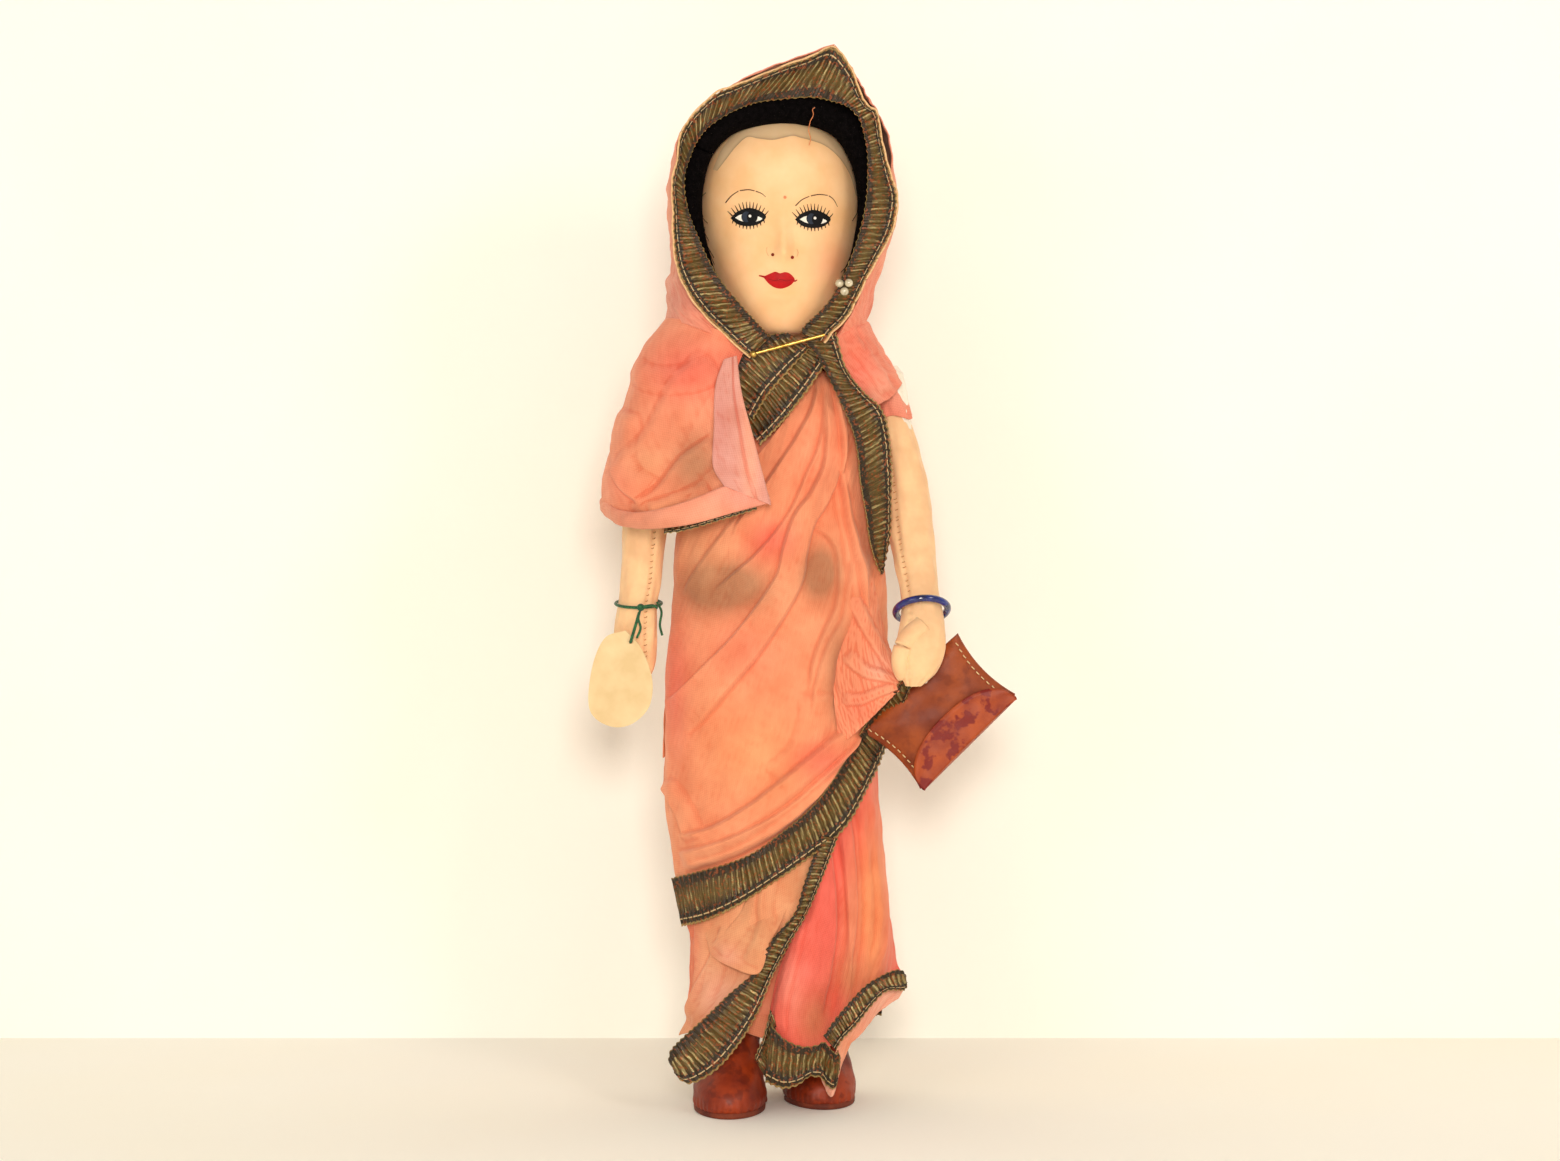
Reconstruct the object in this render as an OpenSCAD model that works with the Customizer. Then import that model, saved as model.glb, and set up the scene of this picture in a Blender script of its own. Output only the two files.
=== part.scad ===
// Dressed cloth doll in a sari: a stuffed cotton body with a pressed cloth face, a wrapped and
// hooded sari with metallic borders, leather shoes, a clutch bag, a glass bangle and a wrist tag.
// Front is -Y, up is +Z, and the doll's own left is +X. Millimetres at doll_h = 280.

/* [Doll] */
// Overall height, floor to the hood's peak
doll_h = 280; // [250:5:310]
// Centre of the body from the middle of the overall width
mid_x = -6; // [-6.5:0.5:-5.5]

/* [Cloth] */
// Thickness of one layer of sari cloth
cloth_t = 0.8; // [0.5:0.1:0.8]
// Thickness of the metallic border ribbon
ribbon_t = 0.6; // [0.4:0.1:0.6]
// Thickness of the body's cotton skin
skin_t = 0.6; // [0.4:0.1:0.7]
// Points round each soft section
ring_n = 24; // [16:4:28]

/* [Hardware] */
// Radius of the wooden neck dowel
dowel_r = 3; // [2.5:0.1:3.2]
// Radius of the armature wire in the limbs
wire_r = 0.8; // [0.6:0.1:1]
// Radius of the glass bangle, to the middle of its rod
bangle_r = 6.8; // [6.7:0.1:7]
// Radius of the bangle's glass rod
bangle_rod_r = 0.95; // [0.8:0.05:0.95]
// Thickness of the shoe and bag leather
leather_t = 1; // [0.8:0.1:1.2]
// Length of the bag along its fold
bag_l = 35.5; // [34:0.5:36]
// Height of the bag, fold to base
bag_w = 21.5; // [20:0.5:22]
// Thickness of the closed bag, without its flap
bag_t = 4.4; // [4:0.2:4.6]

/* [Hidden] */
$fn = 48;

// Gap that keeps a running pivot free all round
run_gap = 0.05;
// Layers outwards from the column: the start of each layer's cloth
skin_off = -1.6;
under_off = -1.2;
skirt_off = 0.1;
wrap_off = 1.5;
ribbon_off = 2.6;
flap_off = 4.2;

// The dressed column: height, centre x, half width, half depth
COLUMN = [[6, -4, 27, 18], [25, -4, 26, 17], [45, -4.5, 25, 16.5], [60, -7, 25.5, 16.5],
    [75, -8, 26.5, 17], [90, -8.3, 27, 17], [110, -8, 27, 16.5], [140, -7.1, 25.8, 15.5],
    [165, -6.6, 24, 14], [180, -6.3, 22.3, 12.3], [190, -6, 19, 10.4], [197, -5.9, 10.5, 8.8]];
// The bare head: height, centre y, half width, half depth
HEAD = [[205.8, -9, 6, 6], [209.5, -5, 11, 12], [215, -2.5, 14.5, 15], [222, -1, 17.5, 17],
    [232, 0, 19.8, 18.5], [242, 0, 20.4, 19], [252, 0, 18.5, 17.5], [259, 0, 14.5, 14],
    [264, 0, 9, 9], [266, 0, 3, 3]];
// The hood: height, centre x, centre y, half width, half depth
HOOD = [[209.7, -6, 4, 25.5, 20], [215, -6.2, 3.8, 27.5, 21.4], [225, -6, 3.6, 28.6, 22],
    [240, -5.5, 3.4, 30, 22.4], [252, -5, 3.4, 28.6, 22.2], [261.8, -3.6, 2.2, 23.6, 21]];
PEAK = [[262, -3.6, 2.2, 23.6, 21], [268, -1, 2.2, 18, 17.4], [273, 2, 2.8, 12, 12.4],
    [277, 5.4, 3, 6.4, 7.4], [280, 8, 3, 2.6, 3]];
HOOD_A = [-50, 230];
// Limbs: height, centre x, centre y, half width, half depth
RIGHT_ARM = [[113.5, -43.2, -4.4, 2, 1.8], [117, -43.8, -4.2, 4.4, 3.2], [122, -44.3, -3.8, 5.6, 3.8],
    [128, -44.3, -3.2, 5.6, 4.2], [134, -43.8, -2.5, 5.2, 5], [140, -43, -2, 5.4, 5.3],
    [153, -42, -1, 5.8, 5.9], [165, -41.2, -0.5, 6.2, 6.4], [180, -40.2, 0, 6.3, 6.8],
    [188, -39.5, 0, 5.6, 6.5], [193, -38.8, 0, 4.2, 5], [195, -38.5, 0, 2.2, 2.5]];
LEFT_ARM = [[114, 28.8, -22.6, 2.2, 1.8], [118, 30, -22.4, 5, 2.8], [123.4, 30.7, -21.2, 6.4, 3.4],
    [129, 31.2, -18.2, 6, 4.2], [134, 31.2, -14.4, 5.2, 4.9], [140, 30.4, -10.6, 5.2, 5.1],
    [146, 29.6, -7, 5.6, 5.6], [153, 28.8, -3.4, 6, 6], [165, 27.6, 0, 5.8, 6],
    [176, 26, 1, 5.2, 6], [184, 24.6, 1, 4.6, 6.2], [190, 24.2, 1, 4.4, 6],
    [195, 24, 1, 3.4, 4.4], [197, 23.8, 1, 2, 2.5]];
RIGHT_LEG = [[3, -19.2, -10, 7.4, 12], [8, -19, -9.1, 6.8, 10], [13, -18.8, -7.2, 6, 7.3],
    [19, -18.4, -4.6, 5.2, 5.8], [28, -18, -3, 5.3, 5.4], [45, -17.8, -1.5, 6.6, 6.8],
    [65, -17.6, -0.5, 8, 8.2], [85, -17.5, 0, 8.8, 9.6], [93, -17.4, 0, 8.8, 10.2]];
LEFT_LEG = [[28, 4.8, 5.2, 5.3, 5.4], [45, 4, 3, 6.6, 6.8], [65, 3.2, 1.2, 8, 8.2],
    [85, 2, 0, 8.6, 9.4], [93, 1.6, 0, 8.6, 10]];
SHOE = [[1.7, 0, -11.2, 9.4, 14.6], [5, 0, -11.2, 9.6, 14.8], [9, 0.1, -10, 8.9, 12.6],
    [13, 0.3, -8, 8, 10], [17, 0.7, -6.2, 7.2, 8.2], [20, 1, -5, 6.6, 7.4]];
// The sole: thickness, half width, half length, its middle, and how much narrower its heel is
sole_t = 1.6;
sole_rx = 9.6;
sole_ry = 14.9;
sole_cy = -11.2;
heel_narrowing = 0.88;
right_shoe_x = -19.4;
left_shoe_at = [2.4, 11.5, 0];
left_shoe_turn = 10;

// Pivots
neck_pivot = [mid_x, 1, 0];
right_shoulder = [-33, 0, 187];
left_shoulder = [18.2, 1, 187];
shoulder_thread_r = 0.8;
bag_centre = [35.6, -14.3, 106.4];
bag_turn = 45;
bag_pivot = [32, -16.6, 115];
bag_stitch_r = 0.6;
tag_knot = [-42.8, -8.5, 133.4];
tag_hole = [-45.4, -9.9, 124.4];
thread_r = 0.4;
wrist_loop_r = 6.1;

// ---- points ----
function pick(table, z, k) = lookup(z, [for (row = table) [row[0], row[k]]]);
function on_column(a, z, off) = [pick(COLUMN, z, 1) + (pick(COLUMN, z, 2) + off) * cos(a),
    (pick(COLUMN, z, 3) + off) * sin(a), z];
function column_ring(z, off) = [for (i = [0 : ring_n - 1]) on_column(360 * i / ring_n, z, off)];
function arc_on_column(a0, a1, z, off, n) = [for (i = [0 : n]) on_column(a0 + (a1 - a0) * i / n, z, off)];
// The point on the front of the column at this x and z
function column_front(x, z, off) =
    let (t = (x - pick(COLUMN, z, 1)) / (pick(COLUMN, z, 2) + off))
    [x, -(pick(COLUMN, z, 3) + off) * sqrt(max(0.02, 1 - t * t)), z];
function ellipse(z, cx, cy, rx, ry, n = ring_n) =
    [for (i = [0 : n - 1]) [cx + rx * cos(360 * i / n), cy + ry * sin(360 * i / n), z]];
function arc(z, cx, cy, rx, ry, a0, a1, n) =
    [for (i = [0 : n]) let (a = a0 + (a1 - a0) * i / n) [cx + rx * cos(a), cy + ry * sin(a), z]];
// The left leg: its foot is the right one's, moved and turned out, and its calf is its own
function left_leg_ring(r, off) = let (c = cos(left_shoe_turn), s = sin(left_shoe_turn), foot = r[0] < 20,
    cx = foot ? left_shoe_at[0] + (r[1] - right_shoe_x) * c - r[2] * s : r[1],
    cy = foot ? left_shoe_at[1] + (r[1] - right_shoe_x) * s + r[2] * c : r[2])
    [for (p = ellipse(r[0], 0, 0, r[3] + off, r[4] + off))
        [cx + p[0] * c - p[1] * s, cy + p[0] * s + p[1] * c, r[0]]];
function left_leg_rings(off) =
    [for (r = concat(table_from(RIGHT_LEG, 0, 20), LEFT_LEG)) left_leg_ring(r, off)];
function limb_rings(table, off) = [for (r = table) ellipse(r[0], r[1], r[2], r[3] + off, r[4] + off)];
function table_from(table, z0, z1) = [for (r = table) if (r[0] >= z0 && r[0] <= z1) r];
function head_arc(z, off, a0, a1, n) =
    arc(z, mid_x, pick(HEAD, z, 1), pick(HEAD, z, 2) + off, pick(HEAD, z, 3) + off, a0, a1, n);
function mix(a, b, t) = a + (b - a) * t;
function flat(rows) = [for (row = rows) for (p = row) p];

// ---- solids from rows of points ----
// A closed solid through level rings, capped at both ends
module loft(rings) {
    n = len(rings[0]);
    m = len(rings);
    sides = [for (j = [0 : m - 2]) for (i = [0 : n - 1]) let (a = j * n + i, b = j * n + (i + 1) % n)
        each [[a, b, b + n], [a, b + n, a + n]]];
    caps = [[for (i = [n - 1 : -1 : 0]) i], [for (i = [0 : n - 1]) (m - 1) * n + i]];
    polyhedron(flat(rings), [for (f = concat(sides, caps)) [for (i = [len(f) - 1 : -1 : 0]) f[i]]]);
}

// A wall between two matching grids. wrapped joins its last column to its first; domed caps its last
// row, so the wall is closed over the top.
module wall(outer, inner, wrapped = false, domed = false) {
    n = len(outer[0]);
    m = len(outer);
    half = n * m;
    last = wrapped ? n - 1 : n - 2;
    skins = [for (j = [0 : m - 2]) for (i = [0 : last]) let (a = j * n + i, b = j * n + (i + 1) % n)
        each [[a, b + n, b], [a, a + n, b + n], [half + a, half + b, half + b + n],
            [half + a, half + b + n, half + a + n]]];
    foot = [for (i = [0 : last]) let (b = (i + 1) % n) each [[i, b, half + b], [i, half + b, half + i]]];
    top = (m - 1) * n;
    head = domed
        ? [[for (i = [n - 1 : -1 : 0]) top + i], [for (i = [0 : n - 1]) half + top + i]]
        : [for (i = [0 : last]) let (a = top + i, b = top + (i + 1) % n)
            each [[a, half + b, b], [a, half + a, half + b]]];
    ends = wrapped ? [] : [for (j = [0 : m - 2]) let (a = j * n, b = a + n, c = a + n - 1, d = c + n)
        each [[a, half + b, b], [a, half + a, half + b], [c, d, half + d], [c, half + d, half + c]]];
    polyhedron(concat(flat(outer), flat(inner)), concat(skins, foot, head, ends));
}

// A band of ribbon lying on the front of the column, between edge points [x, z] and [x, z]
module front_band(edges, off, thick = ribbon_t, across = 4, along = 4) {
    fine = [for (j = [0 : len(edges) - 2]) for (k = [0 : along - 1]) mix(edges[j], edges[j + 1], k / along)];
    rows = [for (d = [off + thick, off]) [for (e = concat(fine, [edges[len(edges) - 1]]))
        [for (i = [0 : across]) column_front(mix(e[0], e[2], i / across), mix(e[1], e[3], i / across), d)]]];
    wall(rows[0], rows[1]);
}

// A ribbon in space through stations of [edge point, edge point], thickened towards the back
module free_ribbon(stations, thick = ribbon_t) {
    wall([for (s = stations) [s[0], mix(s[0], s[1], 0.5), s[1]]],
        [for (s = stations) [for (p = [s[0], mix(s[0], s[1], 0.5), s[1]]) p + [0, thick, 0]]]);
}

module rod(a, b, r) {
    d = b - a;
    translate(a) rotate([0, acos(d[2] / norm(d)), atan2(d[1], d[0])]) cylinder(r = r, h = norm(d));
}

// ---- stuffed body ----
BODY_Z = [94, 100, 110, 125, 140, 155, 168, 180, 188, 193, 196];
// The straight hole that the shoulder thread runs through
module shoulder_hole(r) translate([-60, 0.5, right_shoulder[2]]) rotate([0, 90, 0]) cylinder(r = r, h = 100);
module torso_skin() color("wheat") difference() {
    wall([for (z = BODY_Z) column_ring(z, skin_off)], [for (z = BODY_Z) column_ring(z, skin_off - skin_t)],
        wrapped = true);
    shoulder_hole(shoulder_thread_r + run_gap);
}
module torso_stuffing() color("ivory") difference() {
    loft([for (z = BODY_Z) column_ring(z, skin_off - skin_t - 0.1)]);
    shoulder_hole(shoulder_thread_r + run_gap);
    translate([neck_pivot[0], neck_pivot[1], 168]) cylinder(r = dowel_r + run_gap, h = 40);
}
module neck_dowel() color("burlywood") difference() {
    translate([neck_pivot[0], neck_pivot[1], 168.2]) cylinder(r = dowel_r, h = 72);
    shoulder_hole(shoulder_thread_r + run_gap);
}
module neck_pad() color("wheat") translate([neck_pivot[0], neck_pivot[1], 196.2]) difference() {
    cylinder(r = 7.4, h = 12.4);
    translate([0, 0, -1]) cylinder(r = dowel_r + run_gap, h = 15);
}
// The strong thread that runs through both shoulders and carries the arms
module shoulder_thread() color("ivory") {
    translate([right_shoulder[0] - 7, 0.5, right_shoulder[2]]) rotate([0, 90, 0])
        cylinder(r = shoulder_thread_r, h = left_shoulder[0] - right_shoulder[0] + 14.6);
}
module right_leg_skin() color("wheat")
    wall(limb_rings(RIGHT_LEG, 0), limb_rings(RIGHT_LEG, -skin_t), wrapped = true);
module right_leg_stuffing() color("ivory") loft(limb_rings(RIGHT_LEG, -skin_t - 0.1));
module right_leg_wire() color("dimgray") rod([-18.2, -4, 8], [-17.5, 0, 88], wire_r);
module left_leg_skin() color("wheat") wall(left_leg_rings(0), left_leg_rings(-skin_t), wrapped = true);
module left_leg_stuffing() color("ivory") loft(left_leg_rings(-skin_t - 0.1));
module left_leg_wire() color("dimgray") rod([4.4, 6.2, 9], [2, 0, 88], wire_r);

// ---- shoes ----
module sole() color("saddlebrown") linear_extrude(sole_t)
    polygon([for (a = [0 : 7.5 : 352.5])
        [sole_rx * cos(a) * (sin(a) < 0 ? 1 : heel_narrowing), sole_cy + sole_ry * sin(a)]]);
module shoe_upper() color("sienna")
    wall([for (r = SHOE) ellipse(r[0], r[1], r[2], r[3], r[4])],
        [for (r = SHOE) ellipse(r[0], r[1], r[2], r[3] - leather_t, r[4] - leather_t)], wrapped = true);
module at_right_shoe() translate([right_shoe_x, 0, 0]) children();
module at_left_shoe() translate(left_shoe_at) rotate(left_shoe_turn) children();
module right_shoe_upper() at_right_shoe() shoe_upper();
module right_shoe_sole() at_right_shoe() sole();
module left_shoe_upper() at_left_shoe() shoe_upper();
module left_shoe_sole() at_left_shoe() sole();

// ---- underclothes ----
module column_tube(z_list, off, thick) wall([for (z = z_list) column_ring(z, off + thick)],
    [for (z = z_list) column_ring(z, off)], wrapped = true);
module blouse_body() color("salmon") difference() {
    column_tube([150, 158, 168, 180, 188, 192], under_off, cloth_t);
    shoulder_hole(shoulder_thread_r + 0.3);
}
module petticoat() color("salmon") column_tube([26, 45, 60, 75, 90, 110, 130, 141], under_off, cloth_t);
module waist_tape() color("ivory") column_tube([142, 147], under_off, cloth_t);

// ---- sari on the body ----
module sari_skirt() color("lightsalmon")
    column_tube([23, 30, 45, 60, 75, 90, 110, 130, 148], skirt_off, cloth_t);
WRAP_A = [150, 380];
function wrap_low(x) = 52 + max(0, x + 33) * 0.9;
function wrap_high(x) = min(194, max(166, 177 + (x + 10) * 1.25));
wrap_n = 28;
function wrap_row(v, off) = [for (i = [0 : wrap_n])
    let (a = mix(WRAP_A[0], WRAP_A[1], i / wrap_n), x = -7 + 27 * cos(a))
    on_column(a, mix(wrap_low(x), wrap_high(x), v), off)];
module sari_wrap() color("lightsalmon") difference() {
    wall([for (j = [0 : 10]) wrap_row(j / 10, wrap_off + cloth_t)],
        [for (j = [0 : 10]) wrap_row(j / 10, wrap_off)]);
    shoulder_hole(shoulder_thread_r + 0.3);
}
BACK_Z = [96, 110, 125, 140, 155, 168, 180, 188, 193, 197];
module sari_back() color("lightsalmon")
    wall([for (z = BACK_Z) arc_on_column(22, 148, z, wrap_off + cloth_t, 16)],
        [for (z = BACK_Z) arc_on_column(22, 148, z, wrap_off, 16)]);
// Cloth of the lower front, [x left, x right, height], drifting forwards towards the hem
function fall_row(x0, x1, z, flare, off) = [for (i = [0 : 8])
    column_front(mix(x0, x1, i / 8), z, off) - [0, flare, 0]];
module front_panel(rows, off) color("lightsalmon")
    wall([for (r = rows) fall_row(r[0], r[1], r[2], r[3], off + cloth_t)],
        [for (r = rows) fall_row(r[0], r[1], r[2], r[3], off)]);
module sari_front_fall() front_panel([[-30, -15, 23, 4.5], [-28.5, -12, 32, 2], [-28, -7, 42, 0.3],
    [-30, -2, 50.6, 0]], wrap_off - 0.3);
module sari_pleats() color("salmon") front_panel([[-4, 16, 12, 0.5], [-3.5, 17.5, 30, 0], [-2, 18, 50, 0],
    [5, 17, 66, 0], [10, 17, 78, 0]], wrap_off - 0.3);
// Cloth over the right shoulder: a cowl turned about the shoulder's own axis
COWL = [[-14.5, 20.4], [-22, 17], [-31, 15], [-38, 13.6], [-44, 11.6]];
function cowl_row(p, r) = [for (i = [0 : 14]) let (a = 12 + 156 * i / 14)
    [p[0], -r * cos(a), right_shoulder[2] + r * sin(a)]];
module sari_shoulder_right() color("lightsalmon")
    wall([for (p = COWL) cowl_row(p, p[1])], [for (p = COWL) cowl_row(p, p[1] - cloth_t)]);
LEFT_COWL = [[17.4, 11.6], [9, 14], [3.4, 16]];
function left_cowl_row(p, r) = [for (i = [0 : 12]) let (a = 18 + 150 * i / 12)
    [p[0], -r * cos(a), 190 + r * sin(a)]];
module sari_shoulder_left() color("lightsalmon")
    wall([for (p = LEFT_COWL) left_cowl_row(p, p[1] + cloth_t)],
        [for (p = LEFT_COWL) left_cowl_row(p, p[1])]);
module pallu_flap() color("lightsalmon")
    front_band([[-33, 158, -9.6, 161], [-32, 166, -11.4, 170], [-30, 176, -14, 182]], flap_off, cloth_t, 6);

// ---- metallic borders on the body ----
module wrap_border() color("darkolivegreen")
    front_band([[-34, 58, -31.6, 47], [-21, 63, -18, 52.5], [-8, 70, -4.4, 59], [3, 78, 8, 67.5],
        [11, 87, 15.6, 78], [16, 97, 18.6, 90]], ribbon_off);
module chest_border() color("darkolivegreen")
    front_band([[-18, 181, -11, 172], [-12, 189, -4, 181], [-7, 195, 2.4, 189]], ribbon_off);
module side_border() color("darkolivegreen")
    front_band([[16.6, 146, 19.4, 146], [14, 158, 19, 158], [12, 172, 18.2, 172],
        [9.4, 181, 16.4, 180.4], [5.6, 189, 12.4, 188.6]], ribbon_off);
module fall_border() color("darkolivegreen")
    free_ribbon([[[-32.6, -20, 19], [-31, -20.4, 11.4]], [[-24, -24, 25], [-17.4, -24.4, 15.6]],
        [[-15, -22, 35], [-7, -22, 29]], [[-8, -20.8, 46], [-1.6, -20.8, 43]],
        [[-3, -20.4, 56], [1.4, -20.4, 54]], [[3.6, -20, 68], [7.4, -19.6, 67]]]);
module pleats_border() color("darkolivegreen")
    free_ribbon([[[-10.2, -20.6, 24], [-11.4, -20.6, 12]], [[-7.6, -22, 20], [-8.4, -22, 7]],
        [[1, -22, 16.6], [0, -22, 4.6]], [[9, -20.6, 17], [9, -20.6, 6]]]);
module side_pleat_border() color("darkolivegreen")
    free_ribbon([[[9.8, -20, 20], [11, -20, 17.6]], [[14, -19, 29], [16, -19, 24.6]],
        [[20.4, -15, 36], [22, -15, 31]], [[26.4, -9, 36.4], [26.6, -9, 31.4]]]);

// ---- head ----
HEAD_Z = [209.6, 215, 222, 232, 242, 252, 259, 264, 265.6];
module head_stuffing() color("ivory") difference() {
    loft([for (z = HEAD_Z) ellipse(z, mid_x, pick(HEAD, z, 1), pick(HEAD, z, 2), pick(HEAD, z, 3))]);
    translate([neck_pivot[0], neck_pivot[1], 205]) cylinder(r = dowel_r + run_gap, h = 35.2);
}
MASK_Z = [205.8, 209.5, 215, 222, 232, 242, 252, 258, 262];
module face_mask() color("wheat")
    wall([for (z = MASK_Z) head_arc(z, 1.35, 190, 350, 20)],
        [for (z = MASK_Z) head_arc(z, 0.5, 190, 350, 20)]);
module head_back_skin() color("wheat")
    wall([for (z = HEAD_BACK_Z) head_arc(z, 1.1, 12, 168, 16)],
        [for (z = HEAD_BACK_Z) head_arc(z, 0.5, 12, 168, 16)]);
HEAD_BACK_Z = [210, 215, 222, 232, 242, 252, 258, 262];
HAIR_Z = [213, 222, 232, 242, 250, 257.4];
hair_off = 1.9;
hair_t = 2;
CROWN = [[257.6, 15.6, 14.6], [262.6, 11.8, 10.4], [266.6, 7, 6], [268.6, 3, 3]];
module hair() color("black") {
    wall([for (z = HAIR_Z) head_arc(z, hair_off + hair_t, -24, 204, 26)],
        [for (z = HAIR_Z) head_arc(z, hair_off, -24, 204, 26)]);
    wall([for (r = CROWN) ellipse(r[0] + 0.6, mid_x, 0, r[1] + hair_t + 2, r[2] + hair_t + 2)],
        [for (r = CROWN) ellipse(r[0] - (r[0] > 258 ? 0.6 : 0), mid_x, 0, r[1] + 2, r[2] + 2)],
        wrapped = true, domed = true);
}
// The inside of the peak, one cloth thickness in, and lowered by as much above its foot
function peak_lining(r) = let (z = r[0] - (r[0] > PEAK[0][0] + 1 ? cloth_t : 0))
    ellipse(z, r[1], r[2], r[3] - cloth_t, r[4] - cloth_t);
function hood_row(r, inset) = arc(r[0], r[1], r[2], r[3] - inset, r[4] - inset, HOOD_A[0], HOOD_A[1], 30);
module sari_hood() color("lightsalmon") {
    wall([for (r = HOOD) hood_row(r, 0)], [for (r = HOOD) hood_row(r, cloth_t)]);
    wall([for (r = PEAK) ellipse(r[0], r[1], r[2], r[3], r[4])], [for (r = PEAK) peak_lining(r)],
        wrapped = true, domed = true);
}
// The border round the face: outer edge [x, z], inner edge [x, z], depth
FACE_EDGE = [[-20, 208, -14.6, 211.4], [-26, 216, -20.6, 219], [-30.4, 226, -25, 228.6],
    [-32.4, 237, -27.6, 237], [-32, 247, -27, 246], [-28.6, 256.6, -24.4, 254], [-21.4, 264, -18, 260],
    [-10, 271, -10.4, 263.4], [4, 277, -2, 264.6], [13, 270, 8.6, 262.6], [20, 262, 15.4, 258],
    [23.8, 249, 18.6, 246.4], [24, 238, 18.6, 237], [20, 226, 14.6, 226.6], [14.6, 217, 9, 219],
    [8.6, 208.6, 3.4, 212]];
module hood_border() color("darkolivegreen")
    free_ribbon([for (e = FACE_EDGE) let (y = face_edge_y(e[1])) [[e[0], y, e[1]], [e[2], y - 1.6, e[3]]]]);
function face_edge_y(z) = lookup(z, [[208, -19.4], [225, -17.6], [250, -17.2], [277, -17.4]]);
pearl_r = 1.1;
module pearl_earring() color("ivory") for (p = [[9.4, 218.7], [11.8, 218.8], [10.7, 216.6]])
    translate([p[0], -21.4, p[1]]) sphere(r = pearl_r);

// ---- pin ----
module neck_pin() color("goldenrod") {
    rod([-12.4, -22.6, 200.6], [5.6, -22.6, 205.4], 0.45);
    translate([-12.9, -22.6, 200.4]) sphere(r = 0.95);
}

// ---- right arm, its sleeve, the sari's end, the wrist thread and the tag ----
module right_arm_skin() color("wheat") difference() {
    wall(limb_rings(RIGHT_ARM, 0), limb_rings(RIGHT_ARM, -skin_t), wrapped = true);
    shoulder_hole(shoulder_thread_r + run_gap);
}
// Two lengths of armature wire, to the hand and to the shoulder, joined by a bead of solder at the elbow
module bent_wire(hand, elbow, shoulder) color("dimgray") {
    rod(hand, elbow, wire_r);
    rod(elbow, shoulder, wire_r);
    translate(elbow) sphere(r = elbow_bead_r);
}
elbow_bead_r = 1.4;
module right_arm_stuffing() color("ivory") difference() {
    loft(limb_rings(RIGHT_ARM, -skin_t - 0.1));
    shoulder_hole(shoulder_thread_r + run_gap);
}
module right_arm_wire() bent_wire([-43.9, -2.9, 125], [-42, -1, 154], [-40.2, -0.2, 180]);
module sleeve(arm) {
    table = [for (z = SLEEVE_Z) [z, for (k = [1 : 4]) pick(arm, z, k)]];
    color("salmon") difference() {
        wall(limb_rings(table, 1.3), limb_rings(table, 0.5), wrapped = true);
        shoulder_hole(shoulder_thread_r + 0.4);
    }
}
SLEEVE_Z = [178, 184, 188, 193];
module right_sleeve() sleeve(RIGHT_ARM);
PALLU = [[157, -42.6, -1.5, 11, 11.6], [164, -42.4, -1, 10.8, 11.4], [172, -41.6, 0, 9.8, 10.4],
    [182.4, -40.6, 0, 8.8, 9]];
module sari_pallu() color("lightsalmon")
    wall([for (r = PALLU) arc(r[0], r[1], r[2], r[3], r[4], 66, 294, 22)],
        [for (r = PALLU) arc(r[0], r[1], r[2], r[3] - cloth_t, r[4] - cloth_t, 66, 294, 22)]);
module wrist_thread() color("darkgreen") {
    translate([-43.6, -2.4, 134]) rotate([6, 0, 0])
        rotate_extrude() translate([wrist_loop_r, 0]) circle(r = thread_r, $fn = 16);
    translate(tag_knot) sphere(r = 1);
}
// The strand hangs from the knot and passes through the tag
module tag_thread() color("darkgreen") {
    rod(tag_knot + [-0.36, -0.2, -1.3], tag_hole + [0, -0.4, 0], thread_r);
    translate(tag_hole + [0, -0.4, 0]) rotate([-90, 0, 0]) cylinder(r = thread_r, h = 1.9);
    translate(tag_hole + [0, -0.4, 0]) sphere(r = thread_r);
}
TAG = [[-46.8, 127.6], [-42.4, 122.4], [-39.6, 114.4], [-40.4, 107.4], [-44.6, 102.8], [-49.8, 101.6],
    [-55, 104], [-56.9, 108.6], [-55.4, 119], [-52.6, 125]];
tag_t = 0.5;
module paper_tag() color("khaki") translate([0, -9, 0]) rotate([90, 0, 0]) difference() {
    linear_extrude(tag_t) polygon(TAG);
    translate([tag_hole[0], tag_hole[2], -1]) cylinder(r = thread_r + 0.08, h = 3);
}

// ---- left arm, its sleeve, the held corner and the bangle ----
module left_arm_skin() color("wheat") difference() {
    wall(limb_rings(LEFT_ARM, 0), limb_rings(LEFT_ARM, -skin_t), wrapped = true);
    shoulder_hole(shoulder_thread_r + run_gap);
}
module left_arm_stuffing() color("ivory") difference() {
    loft(limb_rings(LEFT_ARM, -skin_t - 0.1));
    shoulder_hole(shoulder_thread_r + run_gap);
}
module left_arm_wire() bent_wire([31, -16.8, 130], [28.6, -2.8, 155], [25.4, 0.6, 180]);
module left_sleeve() sleeve(LEFT_ARM);
module sari_corner() color("lightsalmon")
    wall(corner_rows(CORNER_Z, [22.4, 23.4, 24.6], [-8, -14, -18.6]),
        corner_rows(CORNER_Z, [22.4, 23.4, 24.6] + cloth_t * [1, 1, 1], [-8, -13.9, -18.4]));
CORNER_Z = [[128, 123, 118], [124, 120, 115.6], [121.4, 118.4, 115.2]];
CORNER_BORDER_Z = [[117.4, 114, 110.6], [115, 113, 110.8], [114.6, 113.6, 112.6]];
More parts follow.
